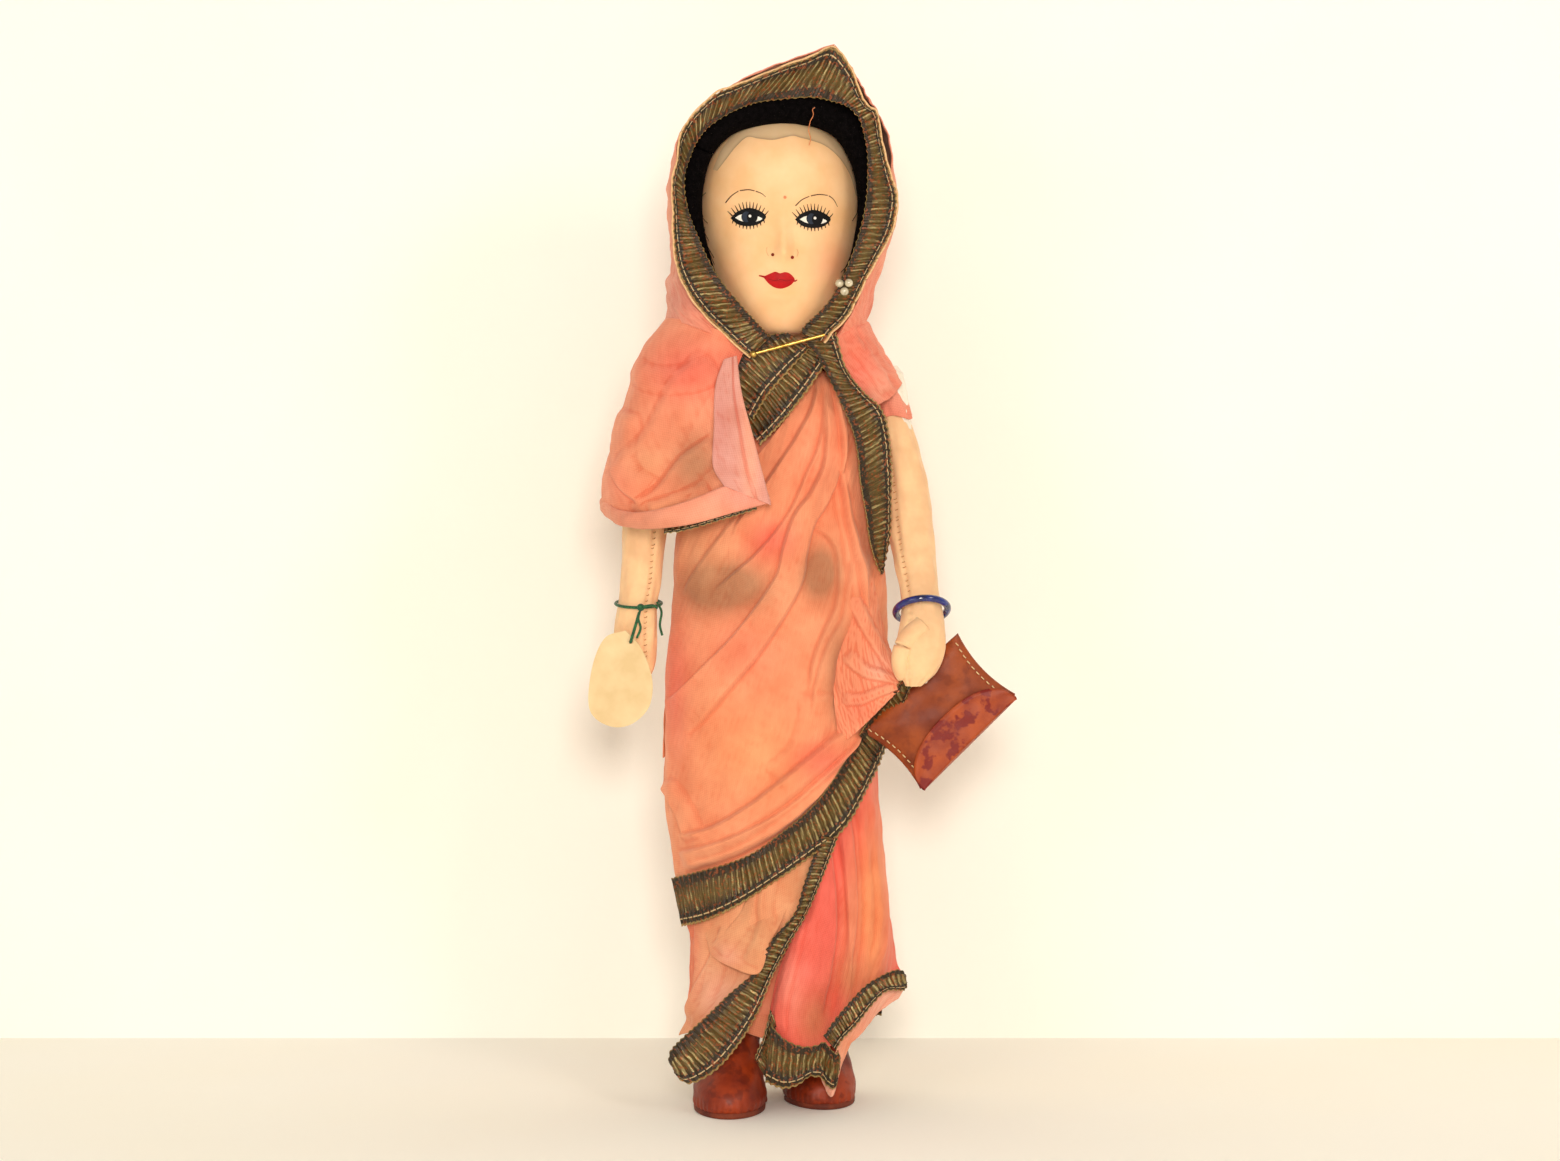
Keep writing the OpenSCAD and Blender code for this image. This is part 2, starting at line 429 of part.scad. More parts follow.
// Three upright rows of the corner: heights of each row, and each row's x and y
function corner_rows(heights, xs, ys) = [for (i = [0 : 2]) [for (z = heights[i]) [xs[i], ys[i], z]]];
module corner_border() color("darkolivegreen")
    wall(corner_rows(CORNER_BORDER_Z, [22.4, 23.2, 25.4], [-9, -14, -18.8]),
        corner_rows(CORNER_BORDER_Z, [22.4, 23.2, 25.4] + ribbon_t * [1, 1, 1], [-9, -13.9, -18.6]));
forearm_dir = [-0.07, 0.53, 0.85];
bangle_at = [31.2, -15, 133.2];
module glass_bangle() color("navy") translate(bangle_at)
    rotate([0, acos(forearm_dir[2] / norm(forearm_dir)), atan2(forearm_dir[1], forearm_dir[0])])
        rotate_extrude() translate([bangle_r, 0]) circle(r = bangle_rod_r, $fn = 24);

// ---- bag, in its own frame: x along the fold, y from the mouth to the base, z towards the front ----
module at_bag() translate(bag_centre) rotate([0, -bag_turn, 0]) rotate([90, 0, 0]) children();
// The pivot in the bag's own frame
function to_bag(p) = let (d = p - bag_centre, c = cos(bag_turn), s = sin(bag_turn))
    [d[0] * c + d[2] * s, -d[0] * s + d[2] * c, -d[1]];
module bag_body() color("saddlebrown") at_bag() difference() {
    translate([-bag_l / 2, -bag_w / 2, -bag_t / 2]) cube([bag_l, bag_w, bag_t]);
    translate([-bag_l / 2 + 2.6, -bag_w / 2 - 1, -bag_t / 2 + leather_t])
        cube([bag_l - 5.2, bag_w - leather_t + 1, bag_t - 2 * leather_t]);
    translate([to_bag(bag_pivot)[0], to_bag(bag_pivot)[1], -bag_t])
        cylinder(r = bag_stitch_r + run_gap, h = 2 * bag_t);
}
stitch_n = 11;
stitch_l = 0.9;
stitch_w = 0.3;
stitch_in = 1.3;
module bag_stitching() color("ivory") at_bag() for (s = [-1, 1]) for (i = [0 : stitch_n - 1])
    translate([s * (bag_l / 2 - stitch_in) - stitch_w / 2,
        mix(2 - bag_w / 2, bag_w / 2 - 2, i / (stitch_n - 1)) - stitch_l / 2, bag_t / 2])
        cube([stitch_w, stitch_l, 0.25]);
flap_gap = 0.35;
flap_reach = 9.5;
module bag_flap() color("sienna") at_bag() {
    translate([0, -bag_w / 2, bag_t / 2 + flap_gap]) linear_extrude(leather_t)
        polygon(concat([[-bag_l / 2 + 0.6, -1.6]], [for (i = [0 : 16]) let (a = 180 - 180 * i / 16)
            [(bag_l / 2 - 0.6) * cos(a), flap_reach * sin(a) * 0.96]], [[bag_l / 2 - 0.6, -1.6]]));
    translate([-bag_l / 2 + 0.6, -bag_w / 2 - 1.6, -bag_t / 2 + 0.4])
        cube([bag_l - 1.2, leather_t, bag_t + flap_gap]);
    translate([-bag_l / 2 + 0.6, -bag_w / 2 - 1.1, -bag_t / 2 + 0.4]) rotate([0, 90, 0])
        cylinder(r = 0.6, h = bag_l - 1.2);
}
// The thread that holds the bag to the palm
module bag_stitch() color("ivory") {
    rod([bag_pivot[0], -20, bag_pivot[2]], [bag_pivot[0], -11, bag_pivot[2]], bag_stitch_r);
    rod([bag_pivot[0], -11.3, bag_pivot[2]], [bag_pivot[0], -10.9, bag_pivot[2]], 1.1);
}

module sized() scale(doll_h / 280) children();

sized() torso_skin();
sized() torso_stuffing();
sized() neck_dowel();
sized() neck_pad();
sized() shoulder_thread();
sized() blouse_body();
sized() petticoat();
sized() waist_tape();
sized() right_leg_skin();
sized() right_leg_stuffing();
sized() right_leg_wire();
sized() left_leg_skin();
sized() left_leg_stuffing();
sized() left_leg_wire();
sized() right_shoe_upper();
sized() right_shoe_sole();
sized() left_shoe_upper();
sized() left_shoe_sole();
sized() sari_skirt();
sized() sari_front_fall();
sized() sari_pleats();
sized() sari_wrap();
sized() sari_back();
sized() sari_shoulder_right();
sized() sari_shoulder_left();
sized() pallu_flap();
sized() wrap_border();
sized() chest_border();
sized() side_border();
sized() fall_border();
sized() pleats_border();
sized() side_pleat_border();
sized() neck_pin();
sized() head_stuffing();
sized() face_mask();
sized() head_back_skin();
sized() hair();
sized() sari_hood();
sized() hood_border();
sized() pearl_earring();
sized() right_arm_skin();
sized() right_arm_stuffing();
sized() right_arm_wire();
sized() right_sleeve();
sized() sari_pallu();
sized() wrist_thread();
sized() tag_thread();
sized() paper_tag();
sized() left_arm_skin();
sized() left_arm_stuffing();
sized() left_arm_wire();
sized() left_sleeve();
sized() sari_corner();
sized() corner_border();
sized() bag_stitch();
sized() glass_bangle();
sized() bag_body();
sized() bag_stitching();
sized() bag_flap();
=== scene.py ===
"""Cloth costume doll in a sari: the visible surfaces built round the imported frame.

Every size in the classes is in millimetres in the doll's own frame (front -Y, up +Z, the doll's left +X)
and is turned to metres when a mesh is made.
"""
import logging
import math
from dataclasses import dataclass, field
from enum import Enum
from typing import Optional, Sequence

import bpy
import numpy as np
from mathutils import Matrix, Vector


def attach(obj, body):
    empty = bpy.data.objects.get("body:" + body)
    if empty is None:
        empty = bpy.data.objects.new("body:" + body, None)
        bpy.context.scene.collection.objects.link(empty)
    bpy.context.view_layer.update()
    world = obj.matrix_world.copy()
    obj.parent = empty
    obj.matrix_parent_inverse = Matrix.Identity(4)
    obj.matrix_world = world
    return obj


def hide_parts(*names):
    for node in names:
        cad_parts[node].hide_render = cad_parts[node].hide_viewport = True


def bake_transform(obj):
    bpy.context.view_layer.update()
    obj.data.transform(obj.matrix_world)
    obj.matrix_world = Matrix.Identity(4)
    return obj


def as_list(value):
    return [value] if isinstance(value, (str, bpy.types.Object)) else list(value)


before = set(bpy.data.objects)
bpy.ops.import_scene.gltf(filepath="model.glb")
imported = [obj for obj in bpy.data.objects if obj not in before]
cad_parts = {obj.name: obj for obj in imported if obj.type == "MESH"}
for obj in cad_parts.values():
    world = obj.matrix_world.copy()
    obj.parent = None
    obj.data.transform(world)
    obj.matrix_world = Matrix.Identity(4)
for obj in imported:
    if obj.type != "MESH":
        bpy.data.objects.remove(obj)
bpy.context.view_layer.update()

LOG = logging.getLogger("doll")
MM = 0.001
NARROWEST_CUT = 0.01
Array = np.ndarray
Point = tuple[float, float, float]


# ------------------------------------------------------------------ curves and fields
def curve_weights(count: int, samples: Array) -> Array:
    """Weights of a Catmull-Rom curve: each sample is a cubic mix of its four nearest points.

    Args:
        count: number of control points.
        samples: places along the curve, from 0 at the first point to 1 at the last.

    Returns:
        A matrix of one row per sample and one column per control point.
    """
    place = np.clip(np.asarray(samples, float), 0, 1) * (count - 1)
    start = np.clip(place.astype(int), 0, count - 2)
    f = place - start
    parts = (
        -0.5 * f + f**2 - 0.5 * f**3,
        1 - 2.5 * f**2 + 1.5 * f**3,
        0.5 * f + 2 * f**2 - 1.5 * f**3,
        -0.5 * f**2 + 0.5 * f**3,
    )
    weights = np.zeros((len(place), count))
    rows = np.arange(len(place))
    for shift, part in zip((-1, 0, 1, 2), parts):
        index = start + shift
        low, high = index < 0, index > count - 1
        inside = ~(low | high)
        np.add.at(weights, (rows[inside], index[inside]), part[inside])
        # past an end the missing point is the mirror of the one inside: 2 * end - next
        for beyond, end, inner in ((low, 0, 1), (high, count - 1, count - 2)):
            np.add.at(weights, (rows[beyond], np.full(beyond.sum(), end)), 2 * part[beyond])
            np.add.at(weights, (rows[beyond], np.full(beyond.sum(), inner)), -part[beyond])
    return weights


def spline(points: Sequence, count: int) -> Array:
    """A smooth curve through the points, sampled evenly by point number.

    Args:
        points: control points, each of the same length.
        count: number of samples.

    Returns:
        The samples, one row each.
    """
    control = np.asarray(points, float)
    return curve_weights(len(control), np.linspace(0, 1, count)) @ control


def net_surface(net: Sequence, rows: int, cols: int) -> Array:
    """A smooth surface through a net of points: Catmull-Rom along both directions of the grid.

    Args:
        net: rows of control points.
        rows: samples along the first direction.
        cols: samples along the second direction.

    Returns:
        The surface as a grid of points, rows by cols by 3.
    """
    control = np.asarray(net, float)
    down = curve_weights(control.shape[0], np.linspace(0, 1, rows))
    across = curve_weights(control.shape[1], np.linspace(0, 1, cols))
    return np.einsum("ri,ijk,cj->rck", down, control, across)


def ramp(x: Array, low: float, high: float) -> Array:
    """Smooth step: 0 below low, 1 above high, cubic between."""
    t = np.clip((np.asarray(x, float) - low) / (high - low), 0, 1)
    return t * t * (3 - 2 * t)


def hump(x: Array, z: Array, centre: tuple[float, float], spread: tuple[float, float]) -> Array:
    """A rounded hill of height 1: the bell curve of the distance over each spread."""
    return np.exp(-(((x - centre[0]) / spread[0]) ** 2) - ((z - centre[1]) / spread[1]) ** 2)


def side_distance(x: Array, z: Array, path: Sequence) -> tuple[Array, Array]:
    """Signed distance from a polyline, and how far along it the nearest point lies.

    Args:
        x: first coordinate of each place.
        z: second coordinate of each place.
        path: corners of the polyline.

    Returns:
        The distance, positive to the right of the path's direction, and the share of its length from 0 to 1.
    """
    corners = np.asarray(path, float)
    steps = np.linalg.norm(np.diff(corners, axis=0), axis=1)
    ends = np.concatenate([[0], np.cumsum(steps)])
    best = np.full(np.shape(x), 1e9)
    signed = np.zeros(np.shape(x))
    along = np.zeros(np.shape(x))
    for k, (a, b) in enumerate(zip(corners[:-1], corners[1:])):
        d = b - a
        share = ((x - a[0]) * d[0] + (z - a[1]) * d[1]) / (d @ d)
        t = np.clip(share, 0, 1)
        dx, dz = x - a[0] - t * d[0], z - a[1] - t * d[1]
        gap = np.hypot(dx, dz)
        nearer = gap < best
        best = np.where(nearer, gap, best)
        signed = np.where(nearer, np.sign(dx * d[1] - dz * d[0]) * gap, signed)
        along = np.where(nearer, (ends[k] + t * steps[k]) / ends[-1], along)
    return signed, along


@dataclass(frozen=True)
class Fold:
    """One fold of cloth: a raised band along a path, with its own softness on each side.

    The height is the lesser of two smooth steps, one rising over `left` on the band's left and one falling
    over `right` on its right, faded towards both ends of the path.
    """

    path: Sequence
    height: float
    width: tuple[float, float] = (1.5, 1.5)
    left: float = 4.0
    right: float = 1.5
    fade: tuple[float, float] = (0.12, 0.12)

    def heights(self, x: Array, z: Array) -> Array:
        """The fold's height at each place."""
        smooth = spline(self.path, 4 * len(self.path))
        away, along = side_distance(x, z, smooth)
        half = (self.width[0] + (self.width[1] - self.width[0]) * along) / 2
        band = np.minimum(ramp(away, -half - self.left, -half), 1 - ramp(away, half, half + self.right))
        ends = ramp(along, 0, self.fade[0] + 1e-6) * (1 - ramp(along, 1 - self.fade[1] - 1e-6, 1))
        return self.height * band * ends


def fold_field(x: Array, z: Array, folds: Sequence[Fold]) -> Array:
    """Sum of the folds' heights at each place."""
    total = np.zeros(np.shape(x))
    for fold in folds:
        total = total + fold.heights(x, z)
    return total


def wrinkles(u: Array, v: Array, seed: int, waves: int = 7) -> Array:
    """Soft irregular wrinkles between about -1 and 1: a sum of plane waves with seeded directions.

    Args:
        u: first coordinate in wrinkle lengths.
        v: second coordinate in wrinkle lengths.
        seed: seed of the directions and phases.
        waves: how many waves are summed.

    Returns:
        The wrinkle height at each place.
    """
    draw = np.random.default_rng(seed)
    total = np.zeros(np.shape(u))
    for _ in range(waves):
        angle, phase = draw.uniform(0, 2 * np.pi, 2)
        rate = draw.uniform(0.7, 1.9)
        total = total + np.sin(2 * np.pi * rate * (u * np.cos(angle) + v * np.sin(angle)) + phase)
    return total / math.sqrt(waves) / 1.4


def unit(vectors: Array) -> Array:
    """Each vector at length one."""
    return vectors / np.maximum(np.linalg.norm(vectors, axis=-1, keepdims=True), 1e-12)


def grid_normals(points: Array) -> Array:
    """Unit normals of a grid: the cross product of its two directions of travel."""
    return unit(np.cross(np.gradient(points, axis=1), np.gradient(points, axis=0)))


def lengths_along(points: Array, axis: int) -> Array:
    """Running length of a grid's lines along one axis, in the points' own unit."""
    steps = np.linalg.norm(np.diff(points, axis=axis), axis=-1)
    pad = [(0, 0), (0, 0)]
    pad[axis] = (1, 0)
    return np.cumsum(np.pad(steps, pad), axis=axis)


# ------------------------------------------------------------------ meshes
@dataclass
class Patch:
    """A piece of surface: points in mm, faces, and one UV pair and one tint per face corner."""

    points: Array
    faces: Array
    uv: Array
    tint: Array

    @staticmethod
    def grid(points: Array, uv: Optional[Array] = None, tint: Optional[Array] = None,
             ring: bool = False, flip: bool = False, caps: bool = False) -> "Patch":
        """A patch from a grid of points.

        Args:
            points: rows by cols by 3, in mm.
            uv: rows by cols by 2; by default the running lengths in mm.
            tint: rows by cols by 3 colours from 0 to 1; white by default.
            ring: whether the last column joins the first.
            flip: whether the faces are turned round.
            caps: whether the first and last rows are closed with a fan.

        Returns:
            The patch.
        """
        rows, cols = points.shape[:2]
        if uv is None:
            uv = np.stack([lengths_along(points, 1), lengths_along(points, 0)], axis=-1)
        if tint is None:
            tint = np.ones((rows, cols, 3))
        wide = cols + 1 if ring else cols
        if ring:
            step = np.linalg.norm(points[:, 0] - points[:, -1], axis=-1)
            last = uv[:, -1:].copy()
            last[:, 0, 0] += step
            uv = np.concatenate([uv, last], axis=1)
            tint = np.concatenate([tint, tint[:, :1]], axis=1)
        j, i = np.meshgrid(np.arange(rows - 1), np.arange(wide - 1), indexing="ij")
        corner = [(j, i), (j, i + 1), (j + 1, i + 1), (j + 1, i)]
        if flip:
            corner.reverse()
        faces = np.stack([a * cols + b % cols for a, b in corner], axis=-1).reshape(-1, 4)
        flat_uv = np.stack([uv[a, b] for a, b in corner], axis=2).reshape(-1, 2)
        flat_tint = np.stack([tint[a, b] for a, b in corner], axis=2).reshape(-1, 3)
        patch = Patch(points.reshape(-1, 3), faces, flat_uv, flat_tint)
        if not caps:
            return patch
        parts = [patch]
        for row, turned in ((0, flip), (rows - 1, not flip)):
            centre = points[row].mean(axis=0)
            ring_now = np.concatenate([points[row], points[row, :1]]) if ring else points[row]
            fan = np.stack([ring_now, centre + (ring_now - centre) * 0.5, centre + (ring_now - centre) * 0.02])
            tone = np.broadcast_to(tint[row].mean(axis=0), fan.shape)
            parts.append(Patch.grid(fan, tint=tone, flip=turned))
        return join(parts)


def join(patches: Sequence[Patch]) -> Patch:
    """Several patches as one."""
    starts = np.cumsum([0] + [len(p.points) for p in patches])
    return Patch(
        np.concatenate([p.points for p in patches]),
        np.concatenate([p.faces + s for p, s in zip(patches, starts)]),
        np.concatenate([p.uv for p in patches]),
        np.concatenate([p.tint for p in patches]),
    )


def tubes(paths: Array, radius: float, sides: int = 6, tint: Optional[Array] = None) -> Patch:
    """Round cords along paths: a circle carried along each path, square to its direction.

    Args:
        paths: cords by points by 3, in mm.
        radius: a number, or one radius per cord and point.
        sides: corners of the circle.
        tint: one colour for all cords, or None for white.

    Returns:
        The cords with closed ends.
    """
    paths = np.asarray(paths, float)
    if paths.ndim == 2:
        paths = paths[None]
    along = unit(np.gradient(paths, axis=1))
    helper = np.where(np.abs(along[..., 2:3]) > 0.9, [1.0, 0, 0], [0, 0, 1.0])
    side = unit(np.cross(along, helper))
    up = np.cross(side, along)
    angle = np.linspace(0, 2 * np.pi, sides, endpoint=False)
    size = np.broadcast_to(np.asarray(radius, float), paths.shape[:2])[..., None, None]
    ring = np.cos(angle)[:, None] * side[:, :, None] + np.sin(angle)[:, None] * up[:, :, None]
    grids = paths[:, :, None] + size * ring
    colour = np.ones(3) if tint is None else np.asarray(tint, float)
    made = []
    for path, grid in zip(paths, grids):
        ends = [np.broadcast_to(path[k], (1, sides, 3)) for k in (0, -1)]
        closed = np.concatenate([ends[0] + (grid[:1] - ends[0]) * 0.05, grid, ends[1] + (grid[-1:] - ends[1]) * 0.05])
        shade = np.broadcast_to(colour, closed.shape)
        made.append(Patch.grid(closed, tint=shade, ring=True, flip=True))
    return join(made)


@dataclass
class Piece:
    """A finished object of the doll: its mesh, what it rides on and which CAD nodes it stands for."""

    name: str
    patch: Patch
    material: bpy.types.Material
    slot: str
    body: Optional[str] = None
    replaces: Sequence[str] = ()
    thickness: float = 0.0
    outward: float = 0.0

    def make(self) -> bpy.types.Object:
        """Builds the object in metres, dresses it and binds it to the frame."""
        mesh = bpy.data.meshes.new(self.name)
        points, faces = self.patch.points * MM, self.patch.faces
        mesh.vertices.add(len(points))
        mesh.vertices.foreach_set("co", points.astype(np.float32).ravel())
        mesh.loops.add(faces.size)
        mesh.loops.foreach_set("vertex_index", faces.astype(np.int32).ravel())
        mesh.polygons.add(len(faces))
        mesh.polygons.foreach_set("loop_start", np.arange(0, faces.size, 4, dtype=np.int32))
        mesh.update(calc_edges=True)
        layer = mesh.uv_layers.new(name="cloth")
        layer.data.foreach_set("uv", self.patch.uv.astype(np.float32).ravel())
        colour = mesh.color_attributes.new("tint", "FLOAT_COLOR", "CORNER")
        rgba = np.concatenate([self.patch.tint, np.ones((len(self.patch.tint), 1))], axis=1)
        colour.data.foreach_set("color", rgba.astype(np.float32).ravel())
        mesh.polygons.foreach_set("use_smooth", np.ones(len(faces), dtype=bool))
        mesh.validate()
        obj = bpy.data.objects.new(self.name, mesh)
        bpy.context.scene.collection.objects.link(obj)
        obj.data.materials.append(self.material)
        if self.thickness:
            solid = obj.modifiers.new("thickness", "SOLIDIFY")
            solid.thickness = self.thickness * MM
            solid.offset = self.outward
        if self.body:
            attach(obj, self.body)
        if self.replaces:
            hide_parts(*self.replaces)
        LOG.info("%s: %d faces", self.name, len(faces))
        return obj


# ------------------------------------------------------------------ colour and nodes
def linear(hex_colour: str) -> tuple[float, float, float, float]:
    """An sRGB hex colour as linear red, green, blue and alpha."""
    values = [int(hex_colour[k:k + 2], 16) / 255 for k in (1, 3, 5)]
    return (*[v / 12.92 if v <= 0.04045 else ((v + 0.055) / 1.055) ** 2.4 for v in values], 1.0)


def rgb(hex_colour: str) -> Array:
    """The same colour as a linear array of three, for tints."""
    return np.array(linear(hex_colour)[:3])


def add(tree: bpy.types.NodeTree, kind: str, settings: Optional[dict] = None,
        links: Optional[dict] = None) -> bpy.types.Node:
    """Adds a node to a tree.

    Args:
        tree: the material's node tree.
        kind: the node's type name without its ShaderNode prefix.
        settings: properties by name, or input values where the key is a socket's name or number.
        links: output sockets by the name or number of the input that they feed.

    Returns:
        The node.
    """
    node = tree.nodes.new("ShaderNode" + kind)
    for key, value in (settings or {}).items():
        if isinstance(key, str) and hasattr(node, key):
            setattr(node, key, value)
        else:
            node.inputs[key].default_value = value
    for key, socket in (links or {}).items():
        tree.links.new(socket, node.inputs[key])
    return node


def colour_ramp(tree: bpy.types.NodeTree, source: bpy.types.NodeSocket,
                stops: Sequence[tuple[float, str]]) -> bpy.types.NodeSocket:
    """Maps a value to colours: sRGB hex stops at places from 0 to 1."""
    node = add(tree, "ValToRGB", links={"Fac": source})
    band = node.color_ramp
    while len(band.elements) < len(stops):
        band.elements.new(0.5)
    for element, (place, tone) in zip(band.elements, stops):
        element.position = place
        element.color = linear(tone)
    return node.outputs["Color"]


def new_material(name: str) -> tuple[bpy.types.Material, bpy.types.NodeTree, bpy.types.Node]:
    """A node material with its Principled shader, named for the real material and how it was made."""
    material = bpy.data.materials.new(name)
    material.use_nodes = True
    tree = material.node_tree
    return material, tree, tree.nodes["Principled BSDF"]


def mix(tree: bpy.types.NodeTree, factor, a, b, blend: str = "MIX") -> bpy.types.NodeSocket:
    """Mixes two colours; each of the factor and the colours is a value or a socket."""
    node = tree.nodes.new("ShaderNodeMix")
    node.data_type = "RGBA"
    node.blend_type = blend
    for socket, value in ((node.inputs[0], factor), (node.inputs[6], a), (node.inputs[7], b)):
        if isinstance(value, bpy.types.NodeSocket):
            tree.links.new(value, socket)
        else:
            socket.default_value = value
    return node.outputs[2]


# ------------------------------------------------------------------ finishes
class Body(str, Enum):
    """The doll's moving bodies."""

    TORSO = "torso"
    HEAD = "head"
    RIGHT_ARM = "right_arm"
    TAG = "tag"
    LEFT_ARM = "left_arm"
    BAG = "bag"
    FLAP = "flap"


class Source(Enum):
    """Where a finish takes its base colour."""

    TINT = "tint"
    MOTTLE = "mottle"


def object_mapping(tree: bpy.types.NodeTree, stretch: Point = (1, 1, 1)) -> bpy.types.NodeSocket:
    """Object coordinates, stretched along each axis."""
    coordinates = add(tree, "TexCoord").outputs["Object"]
    return add(tree, "Mapping", {"Scale": stretch}, {"Vector": coordinates}).outputs["Vector"]


def noise(tree: bpy.types.NodeTree, vector: bpy.types.NodeSocket, size_mm: float,
          detail: float = 3) -> bpy.types.NodeSocket:
    """Noise whose blotches are about size_mm wide on coordinates in metres."""
    return add(tree, "TexNoise", {"Scale": 1000 / size_mm, "Detail": detail}, {"Vector": vector}).outputs["Fac"]


def math_node(tree: bpy.types.NodeTree, operation: str, *values) -> bpy.types.NodeSocket:
    """A maths node fed with numbers or sockets."""
    node = add(tree, "Math", {"operation": operation})
    for socket, value in zip(node.inputs, values):
        if isinstance(value, bpy.types.NodeSocket):
            tree.links.new(value, socket)
        else:
            socket.default_value = value
    return node.outputs[0]


def bump(tree: bpy.types.NodeTree, shader: bpy.types.Node, height: bpy.types.NodeSocket,
         depth_mm: float, strength: float = 1.0) -> None:
    """Roughens a shader's surface by a height from 0 to 1 that is depth_mm deep."""
    node = add(tree, "Bump", {"Strength": strength, "Distance": depth_mm * MM}, {"Height": height})
    tree.links.new(node.outputs["Normal"], shader.inputs["Normal"])


def weave(tree: bpy.types.NodeTree, spacing_mm: float) -> bpy.types.NodeSocket:
    """A plain weave on the piece's own UV map in mm: the product of two ripples, one for each set of threads."""
    parts = add(tree, "SeparateXYZ", links={"Vector": add(tree, "UVMap").outputs["UV"]})
    rate = 2 * math.pi / spacing_mm
    ripples = [math_node(tree, "SINE", math_node(tree, "MULTIPLY", parts.outputs[k], rate)) for k in (0, 1)]
    return math_node(tree, "MULTIPLY_ADD", ripples[0], 0.25, math_node(tree, "MULTIPLY_ADD", ripples[1], 0.25, 0.5))


@dataclass(frozen=True)
class Finish:
    """A plain finish: two colours mottled together, or the piece's own tint, with a fine relief."""

    name: str
    colours: tuple[str, str]
    blotch_mm: float = 4.0
    roughness: float = 0.8
    metallic: float = 0.0
    relief_mm: float = 0.05
    grain_mm: float = 0.4
    stretch: Point = (1, 1, 1)
    source: Source = Source.MOTTLE
    sheen: float = 0.0
    coat: float = 0.0
    subsurface: float = 0.0
    specular: float = 0.5

    def make(self) -> bpy.types.Material:
        """Builds the material."""
        material, tree, shader = new_material(self.name)
        vector = object_mapping(tree, self.stretch)
        blotches = noise(tree, vector, self.blotch_mm)
        colour = colour_ramp(tree, blotches, ((0.35, self.colours[0]), (0.65, self.colours[1])))
        if self.source is Source.TINT:
            tint = add(tree, "Attribute", {"attribute_name": "tint"}).outputs["Color"]
            colour = mix(tree, 1.0, tint, colour, "MULTIPLY")
        tree.links.new(colour, shader.inputs["Base Color"])
        shader.inputs["Roughness"].default_value = self.roughness
        shader.inputs["Metallic"].default_value = self.metallic
        shader.inputs["Specular IOR Level"].default_value = self.specular
        shader.inputs["Sheen Weight"].default_value = self.sheen
        shader.inputs["Coat Weight"].default_value = self.coat
        shader.inputs["Subsurface Weight"].default_value = self.subsurface
        shader.inputs["Subsurface Scale"].default_value = 2 * MM
        bump(tree, shader, noise(tree, vector, self.grain_mm, 2), self.relief_mm)
        return material


@dataclass(frozen=True)
class Muslin:
    """Thin plain-woven cotton: soft, dull, slightly uneven threads, a faint fuzz at grazing angles.

    The threads are 0.3 mm apart and drawn 0.6 mm apart, as coarse as they need to be to show.
    """

    name: str
    thread_mm: float = 0.6
    fuzz: float = 0.35

    def make(self) -> bpy.types.Material:
        """Builds the material from the piece's tint, with slubs, blotches of dye and a woven relief."""
        material, tree, shader = new_material(self.name)
        tint = add(tree, "Attribute", {"attribute_name": "tint"}).outputs["Color"]
        vector = object_mapping(tree)
        blotches = colour_ramp(tree, noise(tree, vector, 9, 4), ((0.3, "#f0dcd4"), (0.7, "#ffffff")))
        threads = weave(tree, self.thread_mm)
        slubs = noise(tree, object_mapping(tree, (1, 1, 0.12)), 0.9, 2)
        woven = math_node(tree, "MULTIPLY_ADD", threads, 0.6, math_node(tree, "MULTIPLY", slubs, 0.4))
        shade = colour_ramp(tree, woven, ((0.25, "#dcc4b8"), (0.7, "#ffffff")))
        dyed = mix(tree, 1.0, tint, blotches, "MULTIPLY")
        tree.links.new(mix(tree, 0.34, dyed, shade, "MULTIPLY"), shader.inputs["Base Color"])
        shader.inputs["Roughness"].default_value = 0.92
        shader.inputs["Sheen Weight"].default_value = self.fuzz
        shader.inputs["Sheen Tint"].default_value = linear("#ffd8c0")
        shader.inputs["Specular IOR Level"].default_value = 0.2
        bump(tree, shader, woven, 0.09, 0.7)
        return material


